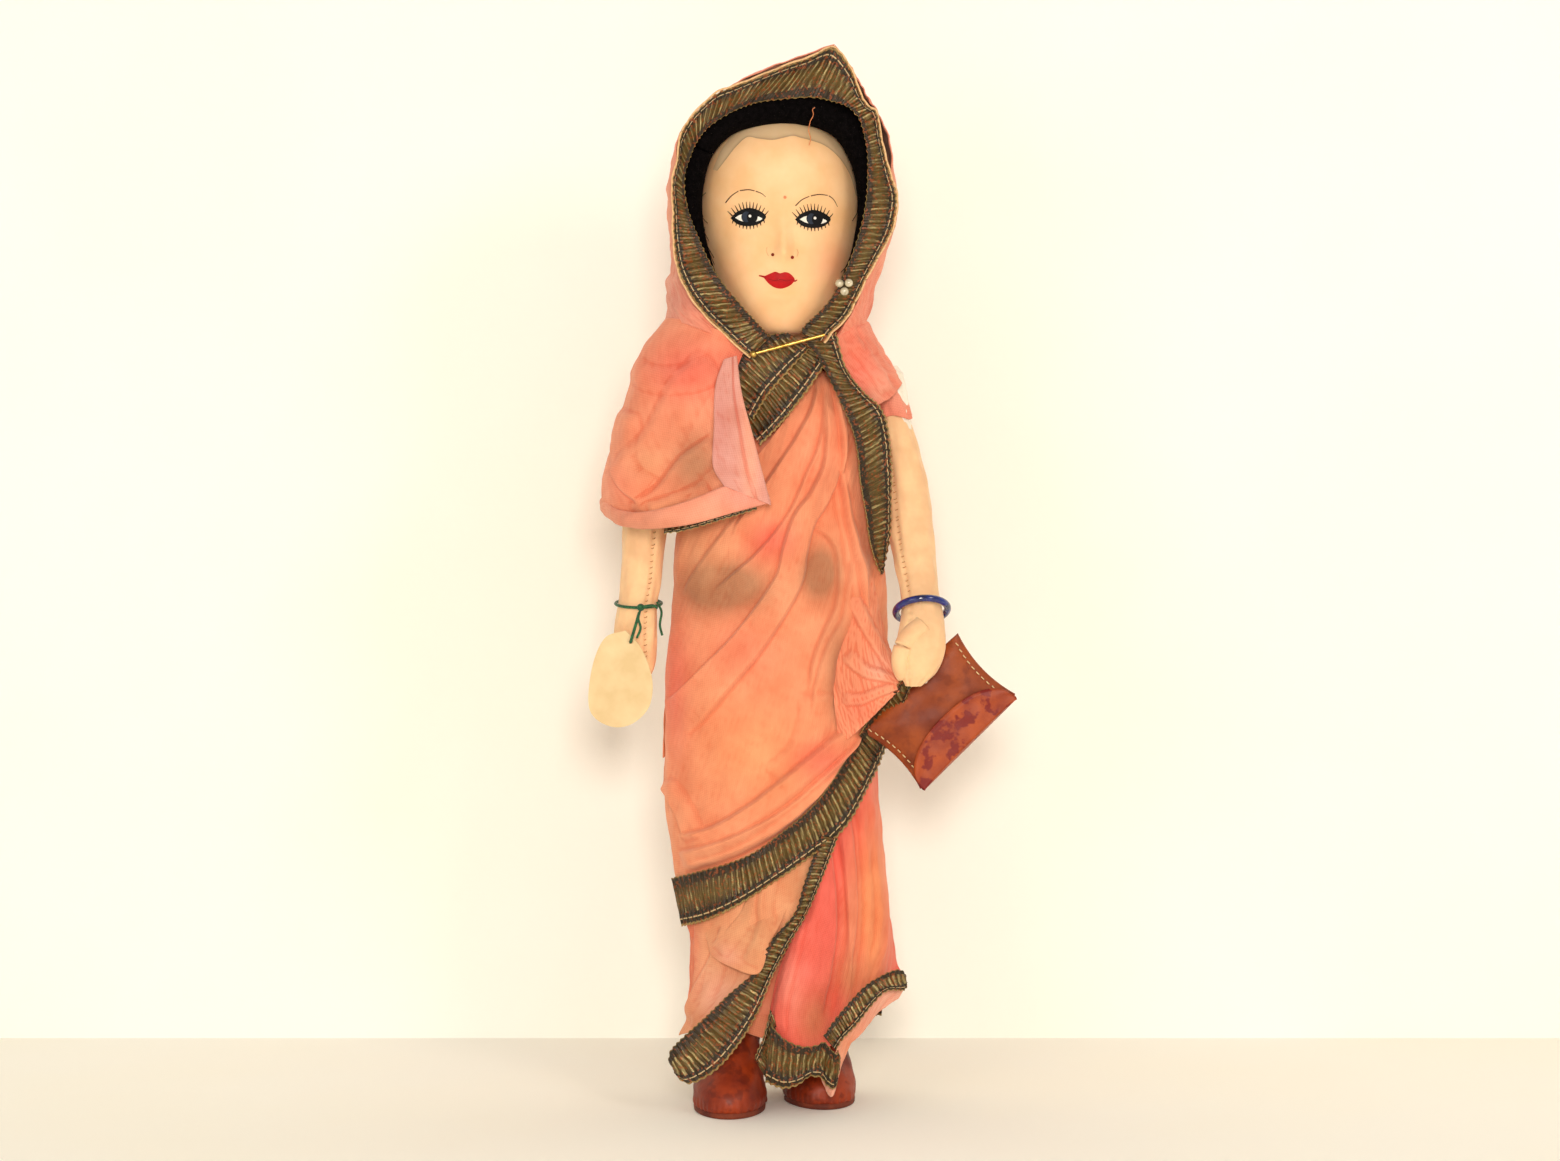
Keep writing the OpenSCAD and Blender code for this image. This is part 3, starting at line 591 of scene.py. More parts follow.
@dataclass(frozen=True)
class Zari:
    """Woven border of tarnished gilt strip on a dark ground: glitters on its ribs, dull between them.

    Across the ribbon (the UV's second number, 0 at the inner edge and 1 at the outer) lie a corded gilt edge,
    a dark scalloped zone, a ribbed band, a dark selvedge with a cream running stitch and a corded edge again.
    """

    name: str = "zari_tarnished_gilt_woven"
    rib_mm: float = 1.75

    def make(self) -> bpy.types.Material:
        """Builds the material on the piece's UV map: mm along the ribbon, share across it."""
        material, tree, shader = new_material(self.name)
        parts = add(tree, "SeparateXYZ", links={"Vector": add(tree, "UVMap").outputs["UV"]})
        along, across = parts.outputs[0], parts.outputs[1]
        vector = object_mapping(tree)
        ground = colour_ramp(tree, across, (
            (0.0, "#a08448"), (0.03, "#2a1f0c"), (0.18, "#3a2a10"), (0.28, "#5a431a"), (0.5, "#66501e"),
            (0.7, "#4c3816"), (0.78, "#2a200c"), (0.95, "#33270e"), (0.975, "#b2945a")))
        drift = math_node(tree, "MULTIPLY_ADD", noise(tree, vector, 8), 9.0, -4.5)
        wobble = math_node(tree, "MULTIPLY_ADD", noise(tree, vector, 2.6), 4.6, drift)
        phase = math_node(tree, "MULTIPLY_ADD", along, 2 * math.pi / self.rib_mm, wobble)
        rib = math_node(tree, "SINE", phase)
        inside = math_node(tree, "MULTIPLY", math_node(tree, "GREATER_THAN", across, 0.2),
                           math_node(tree, "LESS_THAN", across, 0.76))
        bright = math_node(tree, "MULTIPLY", math_node(tree, "SMOOTH_MAX", math_node(
            tree, "MULTIPLY_ADD", rib, 1.5, -0.5), 0.0, 0.3), inside)
        threads = math_node(tree, "SINE", math_node(tree, "MULTIPLY", across, 2 * math.pi * 26))
        worn = math_node(tree, "MULTIPLY", bright, math_node(tree, "MULTIPLY_ADD", threads, 0.25, 0.75))
        rubbed = math_node(tree, "MULTIPLY_ADD", noise(tree, vector, 2.2), 2.4, -0.6)
        faded = math_node(tree, "SMOOTH_MAX", math_node(tree, "MULTIPLY_ADD", noise(tree, vector, 11), 5.0, -1.7), 0.0,
                          0.2)
        patchy = math_node(tree, "MULTIPLY", math_node(tree, "MULTIPLY", worn, rubbed),
                           math_node(tree, "MINIMUM", faded, 1.0))
        gilded = mix(tree, patchy, ground, linear("#dcc98c"))
        ticks = math_node(tree, "SINE", math_node(tree, "MULTIPLY", along, 2 * math.pi / 0.55))
        fine = math_node(tree, "MULTIPLY_ADD", ticks, 0.12, 0.88)
        lined = mix(tree, 1.0, gilded, add(tree, "CombineColor", links={0: fine, 1: fine, 2: fine}).outputs[0], "MULTIPLY")
        # painted reddish glints: copper-red specks at random places, mixed into the colour at half strength
        reddish_glint_specks = math_node(tree, "GREATER_THAN", noise(tree, vector, 0.8, 1), 0.6)
        glint_specked = mix(tree, math_node(tree, "MULTIPLY", reddish_glint_specks, 0.5), lined, linear("#a04a18"))
        stitch = math_node(tree, "MULTIPLY",
                           math_node(tree, "LESS_THAN", math_node(tree, "ABSOLUTE", math_node(
                               tree, "SUBTRACT", across, 0.865)), 0.012),
                           math_node(tree, "GREATER_THAN", math_node(tree, "SINE", math_node(
                               tree, "MULTIPLY", along, 2 * math.pi / 2.3)), -0.8))
        tree.links.new(mix(tree, stitch, glint_specked, linear("#c4a878")), shader.inputs["Base Color"])
        metal = math_node(tree, "MULTIPLY_ADD", patchy, 0.5, 0.25)
        tree.links.new(math_node(tree, "MULTIPLY", metal, math_node(tree, "SUBTRACT", 1.0, stitch)),
                       shader.inputs["Metallic"])
        glint = noise(tree, vector, 0.45, 1)
        tree.links.new(math_node(tree, "MULTIPLY_ADD", glint, -0.5, 0.72), shader.inputs["Roughness"])
        bump(tree, shader, math_node(tree, "ADD", math_node(tree, "MULTIPLY", ticks, 0.25), glint), 0.12)
        return material


@dataclass(frozen=True)
class Leather:
    """Thin vegetable-tanned hide, stained by hand: waxy, cloudy colour, fine pores and darker rubbed spots."""

    name: str
    light: str
    dark: str
    spot: str
    spots: float
    blotch_mm: float = 7.0
    roughness: float = 0.42

    def make(self) -> bpy.types.Material:
        """Builds the material from cloudy stain, spots where the stain pooled, and pores 0.5 mm apart."""
        material, tree, shader = new_material(self.name)
        vector = object_mapping(tree)
        stain = colour_ramp(tree, noise(tree, vector, self.blotch_mm, 5), ((0.34, self.dark), (0.62, self.light)))
        pooled = colour_ramp(tree, noise(tree, vector, 4.2, 3),
                             ((0.52, "#000000"), (0.56 + 0.1 * (1 - self.spots), "#ffffff")))
        spotted = mix(tree, math_node(tree, "MULTIPLY", pooled, self.spots), stain, linear(self.spot))
        pores = add(tree, "TexVoronoi", {"Scale": 1000 / 0.5}, {"Vector": vector}).outputs["Distance"]
        creases = noise(tree, vector, 1.6, 4)
        tree.links.new(spotted, shader.inputs["Base Color"])
        tree.links.new(math_node(tree, "MULTIPLY_ADD", creases, 0.3, self.roughness - 0.12),
                       shader.inputs["Roughness"])
        shader.inputs["Specular IOR Level"].default_value = 0.3
        shader.inputs["Coat Weight"].default_value = 0.08
        shader.inputs["Coat Roughness"].default_value = 0.35
        bump(tree, shader, math_node(tree, "MULTIPLY_ADD", pores, 0.35, creases), 0.12, 0.6)
        return material


FINISHES = {
    # fine bleached cotton stretched over stuffing: matt, warm, a little light passes through it
    "skin": Finish("cotton_flesh_dyed_plain_weave", ("#e8b888", "#f3c896"), 6, 0.75, 0, 0.05, 0.35,
                   sheen=0.15, subsurface=0.12),
    "face": Finish("cotton_face_stretched_over_mould", ("#f7eee2", "#ffffff"), 9, 0.62, 0, 0.02, 0.3,
                   source=Source.TINT, sheen=0.1, subsurface=0.1),
    # hand-painted enamel on cloth: smooth and slightly glossy strokes
    "paint": Finish("enamel_brushed_on_cloth", ("#e6e6e6", "#ffffff"), 1.2, 0.5, 0, 0.02, 0.3,
                    source=Source.TINT, specular=0.16),
    "thread": Finish("cotton_thread_twisted", ("#e8dcc4", "#fff6e2"), 0.6, 0.85, 0, 0.05, 0.3,
                     source=Source.TINT, sheen=0.3),
    "kapok": Finish("kapok_teased_fibre", ("#e9e0cc", "#f7f0e0"), 3, 0.95, 0, 0.3, 0.8, sheen=0.4),
    "wire": Finish("steel_wire_drawn_galvanised", ("#8d9094", "#b4b7ba"), 2, 0.42, 1, 0.02, 0.3, (1, 1, 0.1)),
    "wood": Finish("beech_dowel_turned", ("#c99a66", "#e0b787"), 3, 0.55, 0, 0.05, 0.5, (1, 1, 0.08)),
    "tape": Finish("cotton_tape_woven_bleached", ("#ece4d2", "#f8f2e4"), 3, 0.9, 0, 0.06, 0.4),
    "blouse": Finish("cotton_blouse_dyed_plain_weave", ("#e8805e", "#f09472"), 5, 0.9, 0, 0.06, 0.4, sheen=0.3),
    # untwisted mohair floss: almost black, each strand has a soft sheen
    "hair": Finish("mohair_floss_dyed_black", ("#040303", "#0b0809"), 1.2, 0.95, 0, 0.5, 0.5,
                   specular=0.04),
    "sole": Finish("sole_leather_cut_edge", ("#571d0a", "#7c3214"), 4, 0.8, 0, 0.06, 0.5),
    "pearl": Finish("seed_pearl_glass_lustre", ("#a89c80", "#d8ccae"), 1.5, 0.25, 0, 0.01, 0.5, coat=0.8),
    "brass": Finish("brass_wire_pin_drawn", ("#b08a3e", "#d8b566"), 1.5, 0.3, 1, 0.01, 0.4),
    "glass": Finish("glass_bangle_cobalt_lampworked", ("#0a1246", "#1a2a7c"), 2.5, 0.12, 0, 0.05, 1.2, coat=0.6),
    "green": Finish("cotton_thread_green_twisted", ("#0e3b22", "#1f6a3a"), 0.5, 0.8, 0, 0.08, 0.25, sheen=0.2),
    "paper": Finish("manila_card_calendered", ("#d8bb88", "#e6cc9c"), 7, 0.72, 0, 0.02, 0.4),
    "wall": Finish("plaster_wall_painted_cream", ("#fffdf2", "#fffef6"), 120, 0.9, 0, 0.05, 2.0),
}
LEATHERS = {
    "shoe": Leather("shoe_hide_red_stained", "#9a360e", "#681a06", "#480d04", 0.5, 8, 0.5),
    "bag": Leather("bag_hide_brown_stained", "#96420f", "#742a06", "#5c1c04", 0.4, 9, 0.55),
    "flap": Leather("flap_hide_rubbed", "#a8481a", "#8a300e", "#74100a", 0.9, 6, 0.5),
}


# ------------------------------------------------------------------ the dressed body and its cloth
@dataclass(frozen=True)
class Column:
    """The dressed body as ellipses stacked up: height, centre across, half width, half depth."""

    rings: Sequence = (
        (6, -4, 27, 18), (25, -4, 26, 17), (45, -4.5, 25, 16.5), (60, -7, 25.5, 16.5), (75, -8, 26.5, 17),
        (90, -8.3, 27, 17), (110, -8, 27, 16.5), (140, -7.1, 25.8, 15.5), (165, -6.6, 24, 14),
        (180, -6.3, 22.3, 12.3), (190, -6, 19, 10.4), (197, -5.9, 10.5, 8.8))

    def section(self, z: Array) -> tuple[Array, Array, Array]:
        """Centre across, half width and half depth at each height, on a smooth curve through the rings."""
        table = spline(self.rings, 240)
        return tuple(np.interp(z, table[:, 0], table[:, k]) for k in (1, 2, 3))

    def around(self, angle: Array, z: Array, out: Array) -> Array:
        """Points at angles in degrees (270 is the front) and heights, `out` mm outside the section."""
        cx, rx, ry = self.section(z)
        a = np.radians(angle)
        return np.stack([cx + (rx + out) * np.cos(a), (ry + out) * np.sin(a), z + 0 * cx], axis=-1)

    def front(self, x: Array, z: Array, out: Array) -> Array:
        """Points on the front half at places across and heights; past the side the cloth hangs straight back."""
        cx, rx, ry = self.section(z)
        share = np.clip((x - cx) / (rx + out), -1, 1)
        return np.stack([x + 0 * cx, -(ry + out) * np.sqrt(1 - share**2), z + 0 * cx], axis=-1)


COLUMN = Column()
AXIS = np.array([-6.0, 2.0, 0.0])


def outwards(points: Array, centre: Array = AXIS, level: bool = True) -> tuple[Array, bool]:
    """Normals of a grid turned away from a centre.

    Args:
        points: the grid.
        centre: a point inside.
        level: whether only the horizontal part of the direction counts.

    Returns:
        The normals, and whether the grid's faces have to be turned round.
    """
    normals = grid_normals(points)
    away = points - centre
    if level:
        away = away * np.array([1, 1, 0])
    turned = (normals * away).sum() < 0
    return (-normals if turned else normals), bool(turned)


@dataclass(frozen=True)
class Dye:
    """Colour of a cloth: a base, soft patches (x, z, spread x, spread z, colour, strength) and painted shade in the
    creases of its relief.
    """

    base: str
    patches: Sequence = ()
    # strength of the painted shade that darkens the creases of the relief
    crease_shade: float = 0.34

    def tint(self, points: Array, relief: Optional[Array] = None) -> Array:
        """Colour at each grid point; painted shade darkens the places where the relief bends inwards, towards a redder
        orange.
        """
        x, z = points[..., 0], points[..., 2]
        colour = np.broadcast_to(rgb(self.base), points.shape).copy()
        for px, pz, sx, sz, tone, strength in self.patches:
            share = np.minimum(strength * hump(x, z, (px, pz), (sx, sz)), 0.8)[..., None]
            colour = colour * (1 - share) + rgb(tone) * share
        if relief is not None:
            step0 = np.linalg.norm(np.gradient(points, axis=0), axis=-1) + 1e-6
            step1 = np.linalg.norm(np.gradient(points, axis=1), axis=-1) + 1e-6
            bend = np.gradient(np.gradient(relief, axis=0) / step0, axis=0) / step0
            bend = bend + np.gradient(np.gradient(relief, axis=1) / step1, axis=1) / step1
            # painted crease shade: where the relief bends inwards the colour is darkened towards a redder orange
            crease_shading = (self.crease_shade * np.clip(bend / 0.45, 0, 1))[..., None]
            colour = colour * (1 - crease_shading * (1 - np.array([0.86, 0.5, 0.42])))
        return colour


@dataclass
class Cloth:
    """One sheet of muslin: a base grid, folds and creases on it, and its colour."""

    name: str
    points: Array
    dye: Dye
    replaces: Sequence[str]
    folds: Sequence[Fold] = ()
    crinkle: float = 0.25
    crease_mm: float = 11.0
    seed: int = 1
    relief: Optional[Array] = None
    hold: str = "draped"
    centre: Sequence[float] = (-6.0, 2.0, 0.0)
    slot: str = "sari_muslin"
    thickness: float = 0.3

    def surface(self) -> Array:
        """The grid with its folds: each point moves out along its normal by the sum of the heights."""
        relief = np.zeros(self.points.shape[:2]) if self.relief is None else self.relief
        x, z = self.points[..., 0], self.points[..., 2]
        relief = relief + fold_field(x, z, self.folds)
        u, v = lengths_along(self.points, 1) / self.crease_mm, lengths_along(self.points, 0) / self.crease_mm
        relief = relief + self.crinkle * wrinkles(u, v * 0.7, self.seed)
        relief = relief + 0.25 * self.crinkle * wrinkles(3.1 * u, 2.3 * v, self.seed + 50)
        normals, self.turned = outwards(self.points, np.array(self.centre))
        # the colours include the painted crease shade of this relief
        self.colours = self.dye.tint(self.points, relief)
        return self.points + relief[..., None] * normals

    def make(self, material: bpy.types.Material, body: Optional[Body] = Body.TORSO) -> bpy.types.Object:
        """Builds the sheet as a piece; with no body it is left unattached."""
        surface = self.surface()
        patch = Patch.grid(surface, tint=self.colours, flip=self.turned)
        sides = [float(lengths_along(surface, k).max(axis=k).max()) * MM for k in (1, 0)]
        self.flat = tuple(max(side, NARROWEST_CUT) for side in sides)
        across, down = np.gradient(surface, axis=1), np.gradient(surface, axis=0)
        covered = float(np.linalg.norm(np.cross(across, down), axis=-1).sum()) * MM**2
        self.area = min(max(covered, 0.3 * self.flat[0] * self.flat[1]), self.flat[0] * self.flat[1])
        piece = Piece(self.name, patch, material, self.slot, body.value if body else None,
                      self.replaces, self.thickness, -1.0)
        return piece.make()


def declare(piece: bpy.types.Object, cloth: Cloth, rests_on: Sequence[str],
            with_pieces: Sequence[bpy.types.Object] = ()) -> None:
    """Logs a sheet's cut: the smallest rectangle that it fits in."""
    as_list(rests_on)
    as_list(with_pieces)
    LOG.info("%s cut from %.0f x %.0f mm", piece.name, cloth.flat[0] / MM, cloth.flat[1] / MM)


def trim_patch(outer: Sequence, inner: Sequence, seed: int = 1, lift: float = 0.3, facing: Point = (0, -1, 0),
               sway: float = 0.35) -> Patch:
    """A ribbed gilt ribbon between two edges.

    The grid is a straight blend from the inner to the outer edge. Its height is a rib wave along the length
    (the cosine of the run over the rib pitch) inside the middle band, plus a rolled selvedge and a slow sway.
    Both edges swell out between the ribs as small scallops.

    Args:
        outer: points of the stitched edge.
        inner: points of the scalloped edge, as many as outer.
        seed: seed of the sway.
        lift: how far the ribbon stands off its path.
        facing: direction that its face looks in, roughly.
        sway: height of the slow waves.

    Returns:
        The patch, with UVs of mm along and share across.
    """
    draft = spline(outer, 60)
    count = int(np.linalg.norm(np.diff(draft, axis=0), axis=1).sum() / 0.24) + 8
    a, b = spline(outer, count), spline(inner, count)
    run = np.concatenate([[0], np.cumsum(np.linalg.norm(np.diff((a + b) / 2, axis=0), axis=1))])
    v = np.linspace(0, 1, 21)
    rib = np.cos(2 * np.pi * run / Zari.rib_mm + 0.8 * np.sin(run / 4.1 + seed))[:, None]
    scallop = 0.32 * (0.5 + 0.5 * rib)
    across = unit(a - b)[:, None]
    grid = a[:, None] * v[:, None] + b[:, None] * (1 - v[:, None])
    grid = grid + across * (scallop * (ramp(v, 0.85, 1) - 1 + ramp(v, 0, 0.15)))[..., None]
    middle = ramp(v, 0.16, 0.28) * (1 - ramp(v, 0.7, 0.8))
    selvedge = np.exp(-(((v - 0.86) / 0.07) ** 2))
    height = lift + 0.3 * rib * middle + 0.25 * selvedge + 0.12 * rib * (1 - middle)
    height = height + sway * np.sin(run / 2.9 + 2 * seed)[:, None] * np.sin(np.pi * v + 0.6)
    height = height + 0.1 * wrinkles(run[:, None] / 2.2, v * 3 + 0 * run[:, None], seed)
    normals = grid_normals(grid)
    turned = (normals @ np.array(facing)).sum() < 0
    normals = -normals if turned else normals
    uv = np.stack(np.broadcast_arrays(run[:, None], v), axis=-1)
    return Patch.grid(grid + height[..., None] * normals, uv=uv, flip=bool(turned))


def on_front(edge: Sequence, out: float) -> Array:
    """A list of (x, z) places as points on the body's front, `out` mm off the column."""
    flat = np.asarray(edge, float)
    return COLUMN.front(flat[:, 0], flat[:, 1], np.full(len(flat), out))


SALMON = "#f0a078"
PINK = "#f0866c"
HOT = "#ee6e60"
TAN = "#dca176"
GREY = "#a87c5c"
PALE = "#f2b49c"
LILAC = "#dca094"


@dataclass
class Sari:
    """The sari's sheets on the body, from the skirt out to the pallu, with their gilt borders."""

    wrap_turn: tuple[float, float] = (150.0, 380.0)
    border_outer: Sequence = ((-31.8, 48.4), (-25.6, 51), (-18, 55.2), (-11, 59.8), (-4, 64.6), (2, 68.8), (8, 73),
                              (12.6, 78.2), (17.2, 86), (20.2, 92.4), (21.4, 98))
    border_inner: Sequence = ((-34.8, 60.6), (-27, 64), (-19, 66.8), (-13, 69.6), (-6.6, 74.2), (-1, 78.6), (4, 83.4),
                              (8, 88.6), (11.6, 94.8), (14.6, 100.4), (17, 104.4))
    folds: Sequence = (
        # pleats that fall from the shoulder to the right hip
        Fold(((4.8, 197), (4, 187), (0, 178), (-6, 168), (-11, 160), (-16, 152)), 1.3, (1.5, 5), 5, 1.1),
        Fold(((6, 192), (5.4, 178), (2, 168), (-2, 158), (-9, 148), (-16, 141), (-21.5, 136)), 1.5, (1, 5), 5, 1.0),
        Fold(((7, 188), (7, 172), (3.8, 163), (0, 157), (-2.3, 149), (-3.6, 142), (-8, 134), (-15, 124), (-22, 116),
              (-29, 108), (-35, 103)), 1.8, (3, 9), 1.2, 0.9, (0.1, 0.12)),
        # the crease under the bust and the folds that hang from it
        Fold(((3, 157), (7.6, 153), (10, 148), (10.6, 140), (9.6, 133), (6.4, 126), (4, 119), (3.6, 111)), 1.3,
             (2, 3), 5, 0.9),
        Fold(((13, 150), (11.6, 136), (10.6, 130), (7.4, 124), (5, 116), (4, 106)), 0.9, (1, 3), 3.5, 1.0),
        # the flat pleat that runs from the shoulder to the hand
        Fold(((8.4, 197), (10, 184), (12, 168), (14.2, 153), (17, 139), (19.6, 128), (22.4, 120)), 2.0, (3, 7.4),
             0.7, 0.9, (0.04, 0.02)),
        Fold(((8.6, 168), (10.6, 156), (12.4, 144), (14.6, 132), (17.4, 122)), 0.7, (1, 2), 1.2, 1.4),
        # folds that gather towards the hand, one above the other along the border
        Fold(((21, 116), (14.6, 103), (8, 97.6), (1, 92), (-6, 86), (-14, 79.6), (-23, 74), (-33, 70.5)), 2.1,
             (3, 3.5), 4, 1.0, (0.05, 0.12)),
        Fold(((22, 112), (17, 102), (10, 93), (3, 86), (-4, 80), (-12, 75), (-20, 71), (-33, 66)), 1.8,
             (2.4, 3), 2.5, 0.9, (0.05, 0.06)),
        Fold(((14.4, 128), (12.6, 118), (12.2, 108), (14, 100)), 1.1, (2, 3), 3, 1.2),
        Fold(((2, 112), (2, 104), (-1, 96), (-8, 89)), 0.8, (3, 4), 5, 2.2),
        # the tuck at the right hip
        Fold(((-37, 86.5), (-33.4, 82.4), (-30.6, 77), (-28.6, 72)), 1.2, (2, 3), 2.5, 1.0),
        Fold(((-12, 163), (-20, 152), (-26, 143), (-30, 135)), 0.7, (1, 3), 4, 1.6),
    )
    dye: Dye = Dye(SALMON, (
        (-21, 139.4, 10.6, 6, GREY, 1.5), (-27, 137, 6, 5, GREY, 0.7), (4.4, 143, 4.6, 6.4, GREY, 1.4),
        (8.8, 117, 3.6, 12, GREY, 0.9), (-8.5, 151.6, 6.4, 5.4, HOT, 0.7), (-34, 112, 5, 20, HOT, 0.7),
        (-16, 123, 10, 8, PINK, 0.5), (-12, 96, 14, 12, "#f4a674", 0.8), (4, 94, 7, 5, HOT, 0.6),
        (-28, 150, 9, 9, TAN, 0.5), (3, 174, 9, 14, PINK, 0.25), (14, 160, 3, 22, "#ef9a78", 0.6)))

    def wrap(self) -> Cloth:
        """The draped sheet round hips and chest: angles round the column by a height from hem to neckline."""
        angle, v = np.meshgrid(np.linspace(*self.wrap_turn, 420), np.linspace(0, 1, 330))
        x = -7 + 27 * np.cos(np.radians(angle))
        hem = (np.asarray(self.border_outer) + np.asarray(self.border_inner)) / 2
        low = np.interp(x, hem[:, 0], hem[:, 1])
        high = np.minimum(195.5, np.maximum(166, 177.4 + (x + 10) * 1.2))
        points = COLUMN.around(angle, low + (high - low) * v, 1.5 + 0 * v)
        px, pz = points[..., 0], points[..., 2]
        above = side_distance(px, pz, self.border_inner)[0]
        forward = ramp(-points[..., 1], -4, 4)
        shown = forward * (1 - ramp(above, -1.2, 0.6))
        relief = 1.35 * shown * (fold_field(px, pz, self.folds))
        relief = relief + (1 - forward) * 0.7 * np.sin(pz / 5.2 + 0.06 * angle)
        return Cloth("sari_wrap_cloth", points, self.dye, ["sari_wrap"], crinkle=0.16, seed=4, relief=relief)

    def back(self) -> Cloth:
        """The fall of cloth down the back: hung in soft vertical folds that deepen towards its lower edge."""
        angle, v = np.meshgrid(np.linspace(16, 156, 240), np.linspace(0, 1, 220))
        z = 92 + 2.5 * np.cos(np.radians(3 * angle)) + v * (104.5 - 2.5 * np.cos(np.radians(3 * angle)))
        points = COLUMN.around(angle, z, 2.6 + 0 * v)
        depth = 0.35 + 1.1 * (1 - v) ** 1.4
        relief = depth * (np.sin(np.radians(angle) * 7.5 + 1.2 * v) + 0.4 * np.sin(np.radians(angle) * 17 + 3 * v))
        relief = relief * (1 - ramp(v, 0.86, 1)) + 0.6 * depth
        dye = Dye(SALMON, ((-10, 150, 14, 18, PINK, 0.5), (8, 120, 10, 16, TAN, 0.4), (-6, 180, 12, 8, GREY, 0.35)))
        return Cloth("sari_back_cloth", points, dye, ["sari_back"], crinkle=0.2, seed=9, relief=relief, hold="hung")

    def skirt(self) -> Cloth:
        """The inner turn round the legs: a closed tube in upright folds that open towards the hem."""
        angle, v = np.meshgrid(np.linspace(0, 360, 361)[:-1], np.linspace(0, 1, 190))
        raised = 7 * ramp(np.cos(np.radians(angle)), 0.1, 0.8)
        z = 20 + (raised + 1.5 * np.sin(np.radians(5 * angle))) * (1 - v) + 128 * v
        points = COLUMN.around(angle, z, 0.2 - 1.4 * ramp(-np.sin(np.radians(angle)), 0, 0.5))
        open_hem = (1 - ramp(v, 0, 0.55)) * np.where(np.sin(np.radians(angle)) < 0, 0.35, 1)
        relief = open_hem * (1.3 * np.sin(np.radians(angle) * 9) + 0.7 * np.sin(np.radians(angle) * 16 + 1))
        dye = Dye("#ee9470", ((-28, 50, 8, 24, PINK, 0.5), (16, 40, 10, 20, "#f0a070", 0.6)))
        return Cloth("sari_skirt_cloth", points, dye, ["sari_skirt"], crinkle=0.16, seed=12, relief=relief,
                     hold="gathered", slot="sari_pink_muslin")

    def net(self, rows: Sequence, out: float, count: tuple[int, int]) -> Array:
        """A surface through rows of (x, z, forward) places: each lies on the front, pulled forward by the third."""
        flat = np.asarray(rows, float)
        base = COLUMN.front(flat[..., 0], flat[..., 1], np.full(flat.shape[:2], out))
        base[..., 1] -= flat[..., 2]
        return net_surface(base, *count)

    def front_fall(self) -> Cloth:
        """The lower front on the right leg, drawn to the left under its border."""
        rows = (((-33.6, 62, 0), (-25, 64, 0), (-15, 69, 0), (-5, 74, 0), (4, 78, 0)),
                ((-31.6, 50, 0), (-23, 50, 0.4), (-14, 53, 0.8), (-5, 57, 0.8), (3, 66, 0.4)),
                ((-28.6, 42, 0), (-22, 41, 0.6), (-15, 42, 1.2), (-8, 45, 1.4), (-1.6, 54, 0.8)),
                ((-28.4, 34, 0.4), (-24, 34, 1.2), (-18, 35, 2), (-12, 39, 2.2), (-4.6, 48, 1.4)),
                ((-30.4, 25, 2.6), (-27, 27, 3.2), (-20.6, 31, 3.4), (-14, 37, 3), (-7.4, 46, 2)),
                ((-33, 18.4, 5), (-28.8, 21.6, 5), (-22.4, 26.4, 5), (-16, 33.4, 4.2), (-8.6, 44, 2.6)))
        folds = (Fold(((-27, 52), (-27.4, 42), (-29, 33), (-31, 24)), 0.9, (1.5, 2), 2.5, 1),
                 Fold(((-20, 50), (-23, 40), (-27, 30), (-30, 22)), 1.0, (1.5, 3), 2.5, 1),
                 Fold(((-8, 66), (-10, 56), (-9, 48)), 0.7, (1.5, 2), 2, 1.5))
        dye = Dye("#e8a67c", ((-22, 30, 6, 8, PALE, 0.7), (-30, 44, 3.5, 12, HOT, 0.5), (0, 62, 5, 8, TAN, 0.7)))
        return Cloth("sari_front_cloth", self.net(rows, 1.9, (150, 150)), dye, ["sari_front_fall"], folds, 0.16, 9,
                     21)

    def lobe(self) -> Cloth:
        """A loose fold of the same cloth that hangs over the front in a blunt point."""
        rows = (((-27, 58, -1), (-20, 62, -1), (-12, 66, -1), (-3.4, 70, -1)),
                ((-26, 48, -0.6), (-19.4, 50, -0.4), (-11.4, 54, -0.4), (-3.6, 58, -0.4)),
                ((-25, 44, 0.8), (-19.4, 43.6, 2.2), (-11.6, 46, 2.8), (-6, 51, 1.4)),
                ((-24.2, 41.6, 1.4), (-20, 39.8, 3.4), (-11.8, 38.2, 4.2), (-8.4, 46.6, 2.2)))
        folds = (Fold(((-12, 62), (-16, 52), (-23, 43)), 0.8, (1, 2), 2.5, 1),
                 Fold(((-9, 58), (-10, 50), (-14, 40)), 0.6, (1, 2), 2, 2))
        dye = Dye("#e6a47a", ((-12, 48, 5, 8, TAN, 0.6), (-20, 42, 4, 3, PALE, 0.6), (-15, 55, 3, 4, GREY, 0.3)))
        return Cloth("sari_front_lobe", self.net(rows, 2.6, (100, 110)), dye, [], folds, 0.14, 8, 23)

